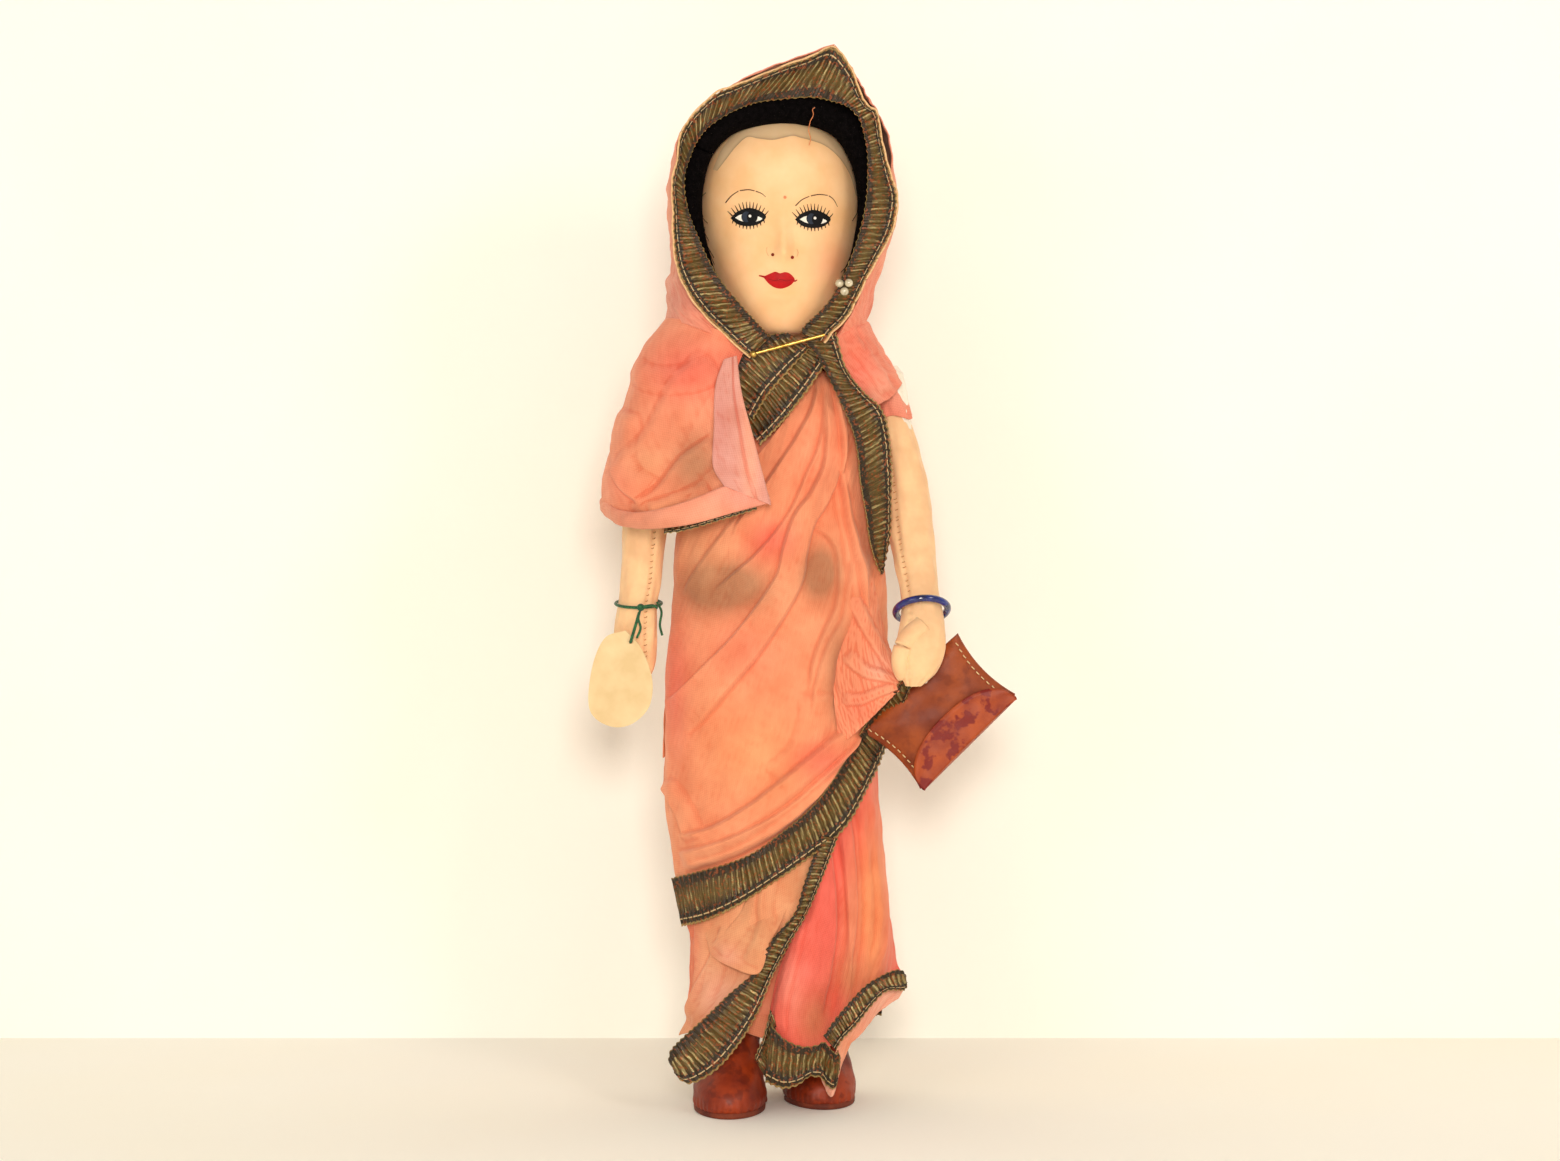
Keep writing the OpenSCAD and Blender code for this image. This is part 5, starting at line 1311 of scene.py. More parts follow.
@dataclass
class Head:
    """The stuffed head: painted cloth face, hair floss and the pearl earring."""

    middle: float = -6.0
    rings: Sequence = (
        (204.8, -11, 2.4, 3), (206.2, -9.6, 7.4, 7.4), (209.5, -5.4, 12.2, 13), (215, -2.7, 16, 16.4),
        (222, -1, 18.8, 18.3), (232, 0, 21, 19.8), (242, 0, 21.6, 20.2), (252, 0, 19.8, 18.8), (259, 0, 15.6, 15.2),
        (263, 0, 11, 10.6), (265.4, 0, 4, 4))

    def section(self, z: Array) -> tuple[Array, Array, Array]:
        """Centre depth, half width and half depth of the head at each height."""
        table = spline(self.rings, 260)
        return tuple(np.interp(z, table[:, 0], table[:, k]) for k in (1, 2, 3))

    def relief(self, x: Array, z: Array) -> Array:
        """The pressed features: a small nose, cheeks, lips and chin as rounded hills, eye hollows as dips."""
        height = 1.5 * hump(x, z, (-5.0, 228.6), (2.0, 4.6)) + 1.0 * hump(x, z, (-5.0, 226.6), (2.7, 2.0))
        height = height + 0.4 * hump(x, z, (-5.3, 236), (1.8, 6)) + 0.65 * hump(x, z, (-5.9, 219.8), (5.2, 2.8))
        height = height + 0.7 * hump(x, z, (-6, 210.6), (6.5, 3.6)) - 0.45 * hump(x, z, (-5.8, 215.3), (4, 1.4))
        height = height + 0.5 * (hump(x, z, (-15, 223), (5, 6)) + hump(x, z, (3.4, 223), (5, 6)))
        return height - 0.55 * (hump(x, z, (-14.2, 235.6), (5.6, 3.6)) + hump(x, z, (2.6, 235.2), (5.6, 3.6)))

    def on_face(self, x: Array, z: Array, lift: float) -> Array:
        """Points on the face at places across and heights, `lift` mm off the cloth."""
        cy, rx, ry = self.section(z)
        share = np.clip((x - self.middle) / rx, -0.999, 0.999)
        y = cy - ry * np.sqrt(1 - share**2) - self.relief(x, z) - lift
        return np.stack([x + 0 * y, y, z + 0 * y], axis=-1)

    def face(self) -> Patch:
        """The face: half ellipses stacked from chin to crown, with the features pressed forwards."""
        v, u = np.meshgrid(np.linspace(0, 1, 220), np.linspace(0, 1, 220), indexing="ij")
        z = 204.8 + 60.4 * (0.5 - 0.5 * np.cos(np.pi * v)) ** 0.92
        angle = np.radians(176 + 188 * u)
        cy, rx, ry = self.section(z)
        x = self.middle + rx * np.cos(angle)
        y = cy + ry * np.sin(angle) - self.relief(x, z) * ramp(-np.sin(angle), 0.05, 0.5)
        points = np.stack([x, y, z], axis=-1)
        # blush on the cheeks and chin; painted highlight on the forehead and the bridge of the nose; painted shade on
        # the doll's right side of the face
        dye = Dye("#f2c490", ((-19, 222, 6, 6, "#f6bd8c", 0.4), (7.6, 224, 5.5, 6, "#f2a67c", 0.6),
                              (-6, 209, 9, 4, "#f6bd8c", 0.45), (-6, 250, 14, 8, "#f5cd9c", 0.6),
                              (-20.6, 228, 3, 5, "#dcb98c", 0.4), (-5, 230, 5, 3, "#f4cb98", 0.5)), 0)
        normals, turned = outwards(points, np.array([self.middle, 6, 235.0]), False)
        return Patch.grid(points, tint=dye.tint(points), flip=turned)

    def fill(self, outline: Sequence, colour: str, lift: float, smooth: bool = True) -> Patch:
        """A painted shape: rings from its middle out to its outline, laid on the face."""
        edge = np.asarray(outline, float)
        closed = np.concatenate([edge, edge[:1]])
        edge = spline(closed, 60) if smooth else closed
        centre = edge.mean(axis=0)
        size = np.array([0.02, 0.35, 0.7, 1.0])[:, None, None]
        flat = centre + (edge - centre) * size
        points = self.on_face(flat[..., 0], flat[..., 1], lift)
        tint = np.broadcast_to(rgb(colour), points.shape)
        turned = (grid_normals(points)[..., 1]).sum() > 0
        return Patch.grid(points, tint=tint, flip=bool(turned))

    def stroke(self, path: Sequence, width: tuple[float, float], colour: str, lift: float = 0.1) -> Patch:
        """A brush stroke: a strip along a path on the face whose width runs from the first value to the last."""
        line = spline(path, 6 if len(path) < 3 else 40)
        along = unit(np.gradient(line, axis=0))
        side = np.stack([-along[:, 1], along[:, 0]], axis=-1)
        half = np.linspace(*width, len(line))[:, None] / 2
        flat = np.stack([line + side * half, line - side * half], axis=1)
        points = self.on_face(flat[..., 0], flat[..., 1], lift)
        turned = (grid_normals(points)[..., 1]).sum() > 0
        return Patch.grid(points, tint=np.broadcast_to(rgb(colour), points.shape), flip=bool(turned))

    def eye(self, x: float, z: float, gaze: float, tilt: float) -> list[Patch]:
        """One painted eye: dark almond, white corners, slate iris, pupil, glint and short lashes."""
        turn = lambda p: (x + p[0], z + p[1] + tilt * p[0])
        almond = [(-4.7, -0.3), (-3, 1.3), (0, 2.3), (2.8, 1.6), (4.6, 0), (2.8, -1.8), (0, -2.4), (-2.8, -1.9)]
        made = [self.fill([turn(p) for p in almond], "#0c0b0c", 0.08)]
        white = [(-3.5, -0.2), (-2, 0.6), (0.2, 0.8), (2, 0.3), (3.6, -0.5), (2.1, -1.2), (0, -1.4), (-2, -1)]
        made.append(self.fill([turn(p) for p in white], "#f4efe2", 0.14))
        ring = np.radians(np.arange(0, 360, 30))
        disc = lambda cx, cy, rx, ry: [turn((cx + rx * math.cos(a), cy + ry * math.sin(a))) for a in ring]
        made.append(self.fill(disc(gaze, 0.0, 2.15, 1.8), "#0e0e12", 0.2))
        made.append(self.fill(disc(gaze - 0.85, 0.0, 1.15, 1.4), "#2c3442", 0.25))
        made.append(self.fill(disc(gaze + 0.45, -0.1, 1.15, 1.4), "#08080a", 0.3))
        made.append(self.fill(disc(gaze + 0.1, 0.2, 0.36, 0.36), "#f6f2ea", 0.36))
        for k in range(12):
            t = -1 + 2 * k / 11
            root = (4.2 * t, 2.2 - 1.9 * t * t)
            tip = (root[0] + 1.15 * t - 0.1, root[1] + 1.75 - 0.5 * t * t)
            made.append(self.stroke([turn(root), turn(tip)], (0.34, 0.12), "#15110d", 0.12))
        for k in range(10):
            t = -1 + 2 * k / 9
            root = (3.9 * t, -2.2 + 1.6 * t * t)
            made.append(self.stroke([turn(root), turn((root[0] + 0.3 * t, root[1] - 1.05))], (0.42, 0.16),
                                    "#15110d", 0.12))
        return made

    def paint(self) -> Patch:
        """All the painting on the face."""
        made = self.eye(-14.2, 235.9, 0.3, 0.0) + self.eye(2.6, 235.4, 0.4, -0.02)
        brows = (((-20.2, 239.6), (-18.7, 241.3), (-16.8, 242.6)), ((-16.4, 242.7), (-14.2, 242.9), (-12.6, 242.6)),
                 ((-12.3, 242.5), (-10.8, 241.9), (-9.7, 241)), ((-2, 238.7), (-0.4, 240.2), (1.6, 241.2)),
                 ((2, 241.3), (4.2, 241.7), (6.4, 241.5)), ((6.7, 241.4), (8, 240.4), (9, 238.6)))
        for k, path in enumerate(brows):
            made.append(self.stroke(path, (0.3, 0.22) if k % 3 < 2 else (0.26, 0.12), "#5a4030"))
        lips = ((-10.4, 220.4), (-8.6, 221.2), (-7.2, 221.7), (-6, 221.3), (-4.7, 221.6), (-3.4, 221.2), (-2.2, 219.8),
                (-2.8, 218.6), (-4.2, 217.7), (-5.8, 217.3), (-7.4, 217.6), (-8.8, 218.5), (-9.8, 219.6))
        made.append(self.fill(lips, "#b80a10", 0.12))
        made.append(self.stroke(((-9.6, 220.2), (-10.6, 220.5), (-11.5, 220.7)), (0.6, 0.3), "#a80c12", 0.14))
        made.append(self.stroke(((-2.8, 219.4), (-2.1, 219.3), (-1.5, 219.6)), (0.6, 0.25), "#a80c12", 0.14))
        made.append(self.stroke(((-9, 219.8), (-7.4, 219.4), (-5.8, 219.7), (-4.2, 219.3), (-3, 219.7)), (0.16, 0.16),
                                "#8c060c", 0.17))
        dots = ((-7.9, 226.1, 0.42, "#7c2a18"), (-2.8, 225.4, 0.44, "#8a2a20"), (-4.7, 240.9, 0.42, "#e08a5e"))
        for x, z, r, tone in dots:
            ring = [(x + r * math.cos(a), z + r * math.sin(a)) for a in np.radians(np.arange(0, 360, 40))]
            made.append(self.fill(ring, tone, 0.12))
        # painted shade: faint tan strokes down both sides of the nose
        made.append(self.stroke(((-9.4, 228), (-9.5, 226.9), (-9, 225.8)), (0.22, 0.16), "#dba878", 0.1))
        made.append(self.stroke(((-1.6, 227.6), (-1.3, 226.6), (-1.6, 225.6)), (0.22, 0.16), "#dba878", 0.1))
        return join(made)

    def hairline(self) -> Patch:
        """The edge of the net cap below the hair: a thin greyish band with a wavy lower edge."""
        upper = spline(((-23.6, 248.4), (-21, 254), (-17, 258.6), (-12.6, 260.2), (-6, 260.6), (-1, 260), (3.4, 259),
                        (7.2, 257), (11, 253), (13.8, 248), (14.6, 242)), 160)
        lower = spline(((-22.4, 248), (-20, 251), (-17.6, 254), (-14.6, 256.6), (-11.6, 256.2), (-8, 255.8),
                        (-5, 256.4), (-2.6, 256.9), (-0.6, 256.4), (2.6, 255.6), (5.4, 254.6), (8, 252.8),
                        (10.4, 250.2), (12.6, 246.4), (14, 241.6)), 160)
        v = np.linspace(0, 1, 8)[:, None, None]
        flat = upper * (1 - v) + lower * v
        points = self.on_face(flat[..., 0], flat[..., 1], 0.1)
        tint = rgb("#d3b68e") * (1 - ramp(v, 0.8, 1)) + rgb("#a88c6c") * ramp(v, 0.8, 1)
        turned = (grid_normals(points)[..., 1]).sum() > 0
        return Patch.grid(points, tint=np.broadcast_to(tint, points.shape), flip=bool(turned))

    def hair(self) -> Patch:
        """The floss: a soft roll round the face, a shell over the skull, and loose strands on both.

        The roll is a flattened tube along the face's outline; each strand starts on it and bends outwards and
        back, with a seeded lean.
        """
        line = spline(((-23, -11, 217), (-27, -11.4, 227), (-29.4, -11.8, 237), (-29, -12.6, 247),
                       (-26.2, -13.2, 255.4), (-20.4, -13.8, 261), (-12.6, -14, 263.6), (-4, -14, 264.4),
                       (4.4, -13.8, 263.2), (11.2, -13.2, 259.6), (15.4, -12.6, 253.4), (17.4, -11.8, 246),
                       (17.6, -11, 236), (15.4, -10.4, 227), (11.4, -10, 219)), 260)
        middle = np.array([self.middle, 0, 238.0])
        size = np.interp(np.linspace(0, 1, 260), [0, 0.12, 0.3, 0.5, 0.72, 0.9, 1], [1.6, 3, 4.2, 4.3, 4.2, 3.2, 1.6])
        roll = tubes(line, size, 18, np.ones(3))
        cap = []
        for z in np.linspace(208, 264.6, 60):
            cy, rx, ry = self.section(np.array(z))
            angle = np.radians(np.linspace(-10, 190, 90))
            cap.append(np.stack([self.middle + (rx + 2.4) * np.cos(angle), cy + (ry + 2.4) * np.sin(angle),
                                 z + 0 * angle], axis=-1))
        cap = np.array(cap)
        shell = Patch.grid(cap, flip=outwards(cap)[1])
        dome_angle, dome_v = np.meshgrid(np.linspace(0, 2 * np.pi, 90), np.linspace(0, 1, 20))
        r = np.cos(dome_v * np.pi / 2) + 0.01
        dome = np.stack([self.middle + 16.4 * r * np.cos(dome_angle), 15.4 * r * np.sin(dome_angle) + 1,
                         257.6 + 9.6 * np.sin(dome_v * np.pi / 2)], axis=-1)
        top = Patch.grid(dome, flip=outwards(dome, np.array([self.middle, 0, 240.0]), False)[1])
        draw = np.random.default_rng(5)
        count = 2600
        place = draw.uniform(0.02, 0.98, count)
        index = (place * 259).astype(int)
        out = unit((line[index] - middle) * np.array([1, 0, 1]))
        lean = draw.normal(0, 0.35, (count, 3)) * np.array([1, 0.6, 1])
        swing = draw.uniform(-1, 1, count)
        reach = draw.uniform(1.5, 4.5, count)
        along = unit(np.gradient(line, axis=0))[index]
        root = line[index] - size[index][:, None] * (out * np.cos(swing * 1.4)[:, None] * draw.choice(
            [-1, 1], (count, 1), p=[0.5, 0.5]) * 0.9) + np.array([0, -1, 0]) * (
            size[index] * 0.75 * np.abs(np.sin(swing * 1.4)))[:, None]
        t = np.linspace(0, 1, 6)[None, :, None]
        curve = along[:, None] * draw.choice([-1, 1], (count, 1, 1))
        paths = root[:, None] + t * reach[:, None, None] * (0.35 * lean[:, None] + 0.9 * curve) + \
            t**2 * 1.1 * (out[:, None] * 0.5 + lean[:, None] * 0.5)
        strands = tubes(paths, 0.09, 3, np.ones(3))
        return join([roll, shell, top, strands])

    def make(self, finishes: dict[str, bpy.types.Material]) -> None:
        """Builds the head's visible pieces on the head body."""
        head = Body.HEAD.value
        face = Piece("face_cloth", self.face(), finishes["face"], "skin_cotton", head, ["face_mask"]).make()
        Piece("face_paint", self.paint(), finishes["paint"], "skin_cotton", head).make()
        Piece("hair_net_edge", self.hairline(), finishes["face"], "hair_floss", head).make()
        Piece("hair_floss", self.hair(), finishes["hair"], "hair_floss", head, ["hair"]).make()
        loose = tubes(np.array([spline(((1.8, -22, 260.4), (1.4, -22.2, 258), (1.9, -22, 256), (1.5, -21.8, 254.2)), 20),
                                spline(((1.8, -22, 260.4), (2.6, -21.6, 262), (2.4, -21, 263.4), (3, -20.4, 264)), 20)]),
                      0.12, 6, rgb("#d8804a"))
        Piece("loose_thread", loose, finishes["thread"], "sewing_thread", head).make()


@dataclass
class Limbs:
    """Stuffed cloth arms with hand-sewn seams, and what is tied to the right wrist."""

    right: Sequence = (
        (113.5, -43.2, -4.4, 2, 1.8), (117, -43.8, -4.2, 4.4, 3.2), (122, -44.3, -3.8, 5.6, 3.8),
        (128, -44.3, -3.2, 5.6, 4.2), (134, -43.8, -2.5, 5.2, 5), (140, -43, -2, 5.4, 5.3), (153, -42, -1, 5.8, 5.9),
        (165, -41.2, -0.5, 6.2, 6.4), (180, -40.2, 0, 6.3, 6.8), (188, -39.5, 0, 5.6, 6.5), (193, -38.8, 0, 4.2, 5),
        (195, -38.5, 0, 2.2, 2.5))
    left: Sequence = (
        (114, 28.8, -22.6, 2.2, 1.8), (118, 30, -22.4, 5, 2.8), (123.4, 30.7, -21.2, 6.4, 3.4), (129, 31.2, -18.2, 6, 4.2),
        (134, 31.2, -14.4, 5.2, 4.9), (140, 30.4, -10.6, 5.2, 5.1), (146, 29.6, -7, 5.6, 5.6), (153, 28.8, -3.4, 6, 6),
        (165, 27.6, 0, 5.8, 6), (176, 25.6, 1, 5.1, 6), (184, 23.8, 1, 4.4, 6), (190, 22.6, 1, 3.8, 5.6),
        (195, 22, 1, 2.8, 4.2), (197, 21.8, 1, 1.6, 2.3))

    def tube(self, table: Sequence, seams: Sequence[float], seed: int, grow: float = 0.0,
             span: tuple[float, float] = (0, 1)) -> Array:
        """A limb: ellipses along its table, pinched at its seams and slightly lumpy with the stuffing."""
        rings = spline(table, 900)
        rings = rings[int(span[0] * 899):int(span[1] * 899) + 1][::5]
        angle = np.radians(np.linspace(0, 360, 97)[:-1])[None]
        z, cx, cy, rx, ry = (rings[:, k:k + 1] for k in range(5))
        pinch = sum(np.exp(-((((np.degrees(angle) - s) + 180) % 360 - 180) / 9) ** 2) for s in seams)
        size = grow - 0.42 * pinch * (1 + 0.3 * np.sin(z * 3.6)) + 0.16 * wrinkles(angle * 1.1, z / 11, seed)
        return np.stack([cx + (rx + size) * np.cos(angle), cy + (ry + size) * np.sin(angle), z + 0 * angle], axis=-1)

    def limb(self, table: Sequence, seams: Sequence[float], seed: int) -> Patch:
        """The limb's closed skin."""
        points = self.tube(table, seams, seed)
        centre = points.mean(axis=(0, 1))
        return Patch.grid(points, ring=True, caps=True, flip=outwards(points, centre)[1])

    def stitches(self, table: Sequence, seams: Sequence[float], seed: int, heights: tuple[float, float]) -> Patch:
        """Small overcast stitches along the seams, 1.5 mm apart: each a short cord across the seam."""
        points = self.tube(table, seams, seed, 0.1)
        paths = []
        for seam in seams:
            column = int(round(seam / 3.75)) % 96
            for z in np.arange(*heights, 1.5):
                row = int(np.abs(points[:, column, 2] - z).argmin())
                middle = points[row, column]
                side = unit(points[row, (column + 2) % 96] - points[row, column - 2])
                lift = unit((middle - points[row].mean(axis=0)) * np.array([1, 1, 0]))
                paths.append([middle - side * 0.5 - lift * 0.12, middle + lift * 0.16, middle + side * 0.5 +
                              np.array([0, 0, 0.3]) - lift * 0.12])
        return tubes(np.array(paths), 0.12, 5, rgb("#c48e58"))

    def thumb(self) -> Patch:
        """The left thumb: an ellipsoid bent round the held cloth, a tapering profile along a curve."""
        line = spline(((31.4, -19.6, 129), (27.6, -21.4, 126), (25.6, -22.4, 121.6), (25.8, -22.4, 117.6),
                       (26.6, -22.2, 115.6)), 40)
        size = np.interp(np.linspace(0, 1, 40), [0, 0.3, 0.7, 0.92, 1], [3.4, 2.9, 2.3, 1.7, 0.5])
        return tubes(line, size, 24, np.ones(3))

    def sleeve(self, table: Sequence, low: float, high: float, seed: int) -> Array:
        """A short sleeve round the arm: the limb's own shape, 1.2 mm outside it, gathered at its hem."""
        rings = spline(table, 900)
        rings = rings[(rings[:, 0] > low) & (rings[:, 0] < high)][::4]
        angle = np.radians(np.linspace(0, 360, 121)[:-1])[None]
        z, cx, cy, rx, ry = (rings[:, k:k + 1] for k in range(5))
        size = 0.8 + 0.22 * np.sin(11 * angle + z / 2) * (1 - ramp(z, low + 1, low + 6)) + \
            0.2 * wrinkles(angle * 1.6, z / 5, seed)
        return np.stack([cx + (rx + size) * np.cos(angle), cy + (ry + size) * np.sin(angle),
                         z + 0.5 * np.sin(3 * angle) + 0 * angle], axis=-1)

    def make(self, finishes: dict[str, bpy.types.Material], blouse: bpy.types.Material) -> None:
        """Builds arms, stitches, sleeves and the thread ends at the wrist."""
        for side, table, seams, body, span in (("right", self.right, (300, 120), Body.RIGHT_ARM, (117, 176)),
                                               ("left", self.left, (232, 52), Body.LEFT_ARM, (138, 184))):
            seed = 81 if side == "right" else 83
            patch = self.limb(table, seams, seed)
            if side == "left":
                patch = join([patch, self.thumb()])
            arm = Piece(side + "_arm_cloth", patch, finishes["skin"], "skin_cotton", body.value,
                        [side + "_arm_skin"]).make()
            Piece(side + "_arm_stitches", self.stitches(table, seams, seed, span), finishes["thread"],
                  "sewing_thread", body.value).make()
            grid = self.sleeve(table, 183.4 if side == "left" else 178.5, 196.4, seed)
            colour = Dye("#ef9078", ((26, 190, 4, 5, PALE, 0.5),))
            patch = Patch.grid(grid, tint=colour.tint(grid), ring=True, flip=outwards(grid, grid.mean(axis=(0, 1)))[1])
            sleeve = Piece(side + "_sleeve_cloth", patch, blouse, "blouse_cotton", body.value,
                           [side + "_sleeve"], 0.3, -1.0).make()
        ends = np.array([spline(path, 24) for path in (
            ((-42.8, -8.4, 133.4), (-41.4, -9, 133.8), (-39.6, -9.2, 134), (-38.4, -8.6, 133.2)),
            ((-42.8, -8.6, 133), (-43.4, -9.4, 130.6), (-42.8, -9.8, 128), (-43.8, -10, 125.4)),
            ((-38.6, -5, 134.6), (-37.4, -6, 132), (-37.8, -6.6, 128.6), (-37.2, -6.4, 125.8)))])
        Piece("wrist_thread_ends", tubes(ends, 0.33, 7), finishes["green"], "green_thread",
              Body.RIGHT_ARM.value).make()


@dataclass
class Shoes:
    """Leather shoes: a closed upper drawn over a rounded toe, on a thin sole with a cut edge."""

    rings: Sequence = (
        (1.2, 0, -11.2, 8.9, 14.0), (1.8, 0, -11.2, 9.5, 14.7), (3.4, 0, -11.2, 9.7, 14.9), (6, 0, -11, 9.5, 14.4),
        (9, 0.1, -10, 8.9, 12.6), (13, 0.3, -8, 8, 10), (17, 0.7, -6.2, 7.2, 8.2), (21, 1, -5, 6.7, 7.5))

    def upper(self, seed: int) -> Array:
        """The upper: a superellipse at each height, puckered where it is drawn in over the sole."""
        rings = spline(self.rings, 70)
        angle = np.radians(np.linspace(0, 360, 145)[:-1])[None]
        z, cx, cy, rx, ry = (rings[:, k:k + 1] for k in range(5))
        pucker = 0.16 * np.sin(34 * angle + 2 * np.sin(3 * angle)) * (1 - ramp(z, 1.5, 6))
        size = pucker + 0.3 * wrinkles(angle * 0.9, z / 7, seed)
        heel = 1 - 0.1 * ramp(np.sin(angle), 0, 1)
        return np.stack([cx + (rx * heel + size) * np.cos(angle), cy + (ry + size) * np.sin(angle), z + 0 * angle],
                        axis=-1)

    def make(self, hide: bpy.types.Material, edge: bpy.types.Material) -> None:
        """Builds both shoes; the left one is turned outwards by 10 degrees."""
        for side, place, turn in (("right", (-19.4, 0.0, 0.0), 0.0), ("left", (2.4, 11.5, 0.0), 10.0)):
            grid = self.upper(91 if side == "right" else 93)
            c, s = math.cos(math.radians(turn)), math.sin(math.radians(turn))
            spin = np.array([[c, -s, 0], [s, c, 0], [0, 0, 1]])
            points = grid @ spin.T + np.array(place)
            patch = Patch.grid(points, ring=True, caps=True, flip=outwards(points, points.mean(axis=(0, 1)))[1])
            Piece(side + "_shoe_hide", patch, hide, "shoe_leather", "torso", [side + "_shoe_upper"]).make()
            angle = np.radians(np.linspace(0, 360, 121)[:-1])[None]
            profile = np.array([(0.0, 9.0, 14.3), (0.25, 9.5, 14.8), (1.2, 9.6, 14.9), (1.6, 9.2, 14.5)])
            z, rx, ry = (profile[:, k:k + 1] for k in range(3))
            sole = np.stack([rx * np.cos(angle) * np.where(np.sin(angle) > 0, 0.9, 1.0),
                             -11.2 + ry * np.sin(angle), z + 0 * angle], axis=-1)
            sole = sole @ spin.T + np.array(place)
            patch = Patch.grid(sole, ring=True, caps=True, flip=outwards(sole, sole.mean(axis=(0, 1)))[1])
            Piece(side + "_shoe_sole_edge", patch, edge, "sole_leather", "torso", [side + "_shoe_sole"]).make()


@dataclass
class Bag:
    """The small leather envelope bag sewn to the left palm: a flat pouch with hollow ends and a curved flap."""

    centre: Point = (35.6, -14.3, 106.4)
    turn: float = 45.0
    length: float = 35.5
    width: float = 21.5
    depth: float = 4.4

    def place(self, points: Array) -> Array:
        """Bag coordinates (along the fold, mouth to base, out to the front) as points of the doll."""
        c, s = math.cos(math.radians(self.turn)), math.sin(math.radians(self.turn))
        x, y, z = points[..., 0], points[..., 1], points[..., 2]
        out = np.stack([x * c - y * s, -z, x * s + y * c], axis=-1)
        return out + np.array(self.centre)

    def reach(self, v: Array) -> Array:
        """Half length at each place across: the short ends curve in by 1.7 mm between their corners."""
        return self.length / 2 - 1.7 * (1 - v**2) + 0.3 * v

    def face(self, front: bool) -> Array:
        """One side of the pouch: a rectangle with hollow ends, swollen in the middle, wavy along its edges."""
        u, v = np.meshgrid(np.linspace(-1, 1, 90), np.linspace(-1, 1, 60))
        x, y = u * self.reach(v), v * (self.width / 2 + 0.35 * np.sin(3 * u))
        plump = (1 - u**6) * (1 - v**6)
        z = 0.5 + (self.depth / 2 - 0.5) * plump + 0.14 * wrinkles(u * 1.6, v * 1.2, 7) * plump
        z = z + 0.5 * hump(x, y, (-8, 2), (5, 5)) * plump
        return np.stack([x, y, z if front else -z], axis=-1)

    def pouch(self) -> Patch:
        """Both sides and the cut edge that joins them."""
        parts = []
        for front in (True, False):
            grid = self.place(self.face(front))
            turned = (grid_normals(grid)[..., 1].sum() > 0) == front
            parts.append(Patch.grid(grid, flip=bool(turned)))
        front, back = self.face(True), self.face(False)
        rim = lambda g: np.concatenate([g[0, :-1], g[:-1, -1], g[-1, :0:-1], g[:0:-1, 0]])
        ring = np.stack([rim(front), rim((front + back) / 2) * np.array([1.012, 1.02, 1]), rim(back)])
        ring = self.place(ring)
        parts.append(Patch.grid(ring, ring=True, flip=outwards(ring, np.array(self.centre), False)[1]))
        return join(parts)

    def flap(self) -> Patch:
        """The flap: from the hinge along the lower right edge, a half-ellipse with a rolled rim, 1 mm thick."""
        u, v = np.meshgrid(np.linspace(-1, 1, 90), np.linspace(0, 1, 36))
        bow = 0.06 + 0.94 * np.sqrt(np.maximum(0, 1 - np.abs(u) ** 2.3))
        x = u * (self.length / 2 - 0.7)
        y = -self.width / 2 - 1.5 + v * (1.5 + 9.2 * bow)
        top = self.depth / 2 + 1.15 + 0.25 * wrinkles(u * 1.4, v, 11) * v - 0.35 * ramp(v, 0.9, 1)
        z = top - (self.depth / 2 + 1.0) * (1 - ramp(v, 0, 0.12)) ** 2
        return np.stack([x, y, z], axis=-1)

    def stitching(self) -> Patch:
        """Cream running stitches along both short ends: short cords 1.9 mm apart, 1.2 mm in from the edge."""
        v = np.linspace(-0.86, 0.86, 11)
        paths = []
        for side in (-1, 1):
            x = side * (self.reach(v) - 1.5)
            for k in range(len(v)):
                height = self.depth / 2 * 0.62 + 0.35
                y = v[k] * self.width / 2
                paths.append([[x[k], y - 0.5, height - 0.1], [x[k], y, height + 0.14], [x[k], y + 0.5, height - 0.1]])
        return tubes(self.place(np.array(paths)), 0.16, 6, rgb("#e6cfa4"))

    def make(self, finishes: dict[str, bpy.types.Material]) -> None:
        """Builds the pouch, its stitching and the flap."""
        Piece("bag_pouch", self.pouch(), finishes["bag"], "bag_leather", "bag", ["bag_body"]).make()
        Piece("bag_end_stitches", self.stitching(), finishes["thread"], "sewing_thread", "bag",
              ["bag_stitching"]).make()
        grid = self.place(self.flap())
        patch = Patch.grid(grid, flip=bool(grid_normals(grid)[..., 1].sum() > 0))
        Piece("bag_flap_hide", patch, finishes["flap"], "bag_flap_leather", "flap", ["bag_flap"], 0.9, -1.0).make()


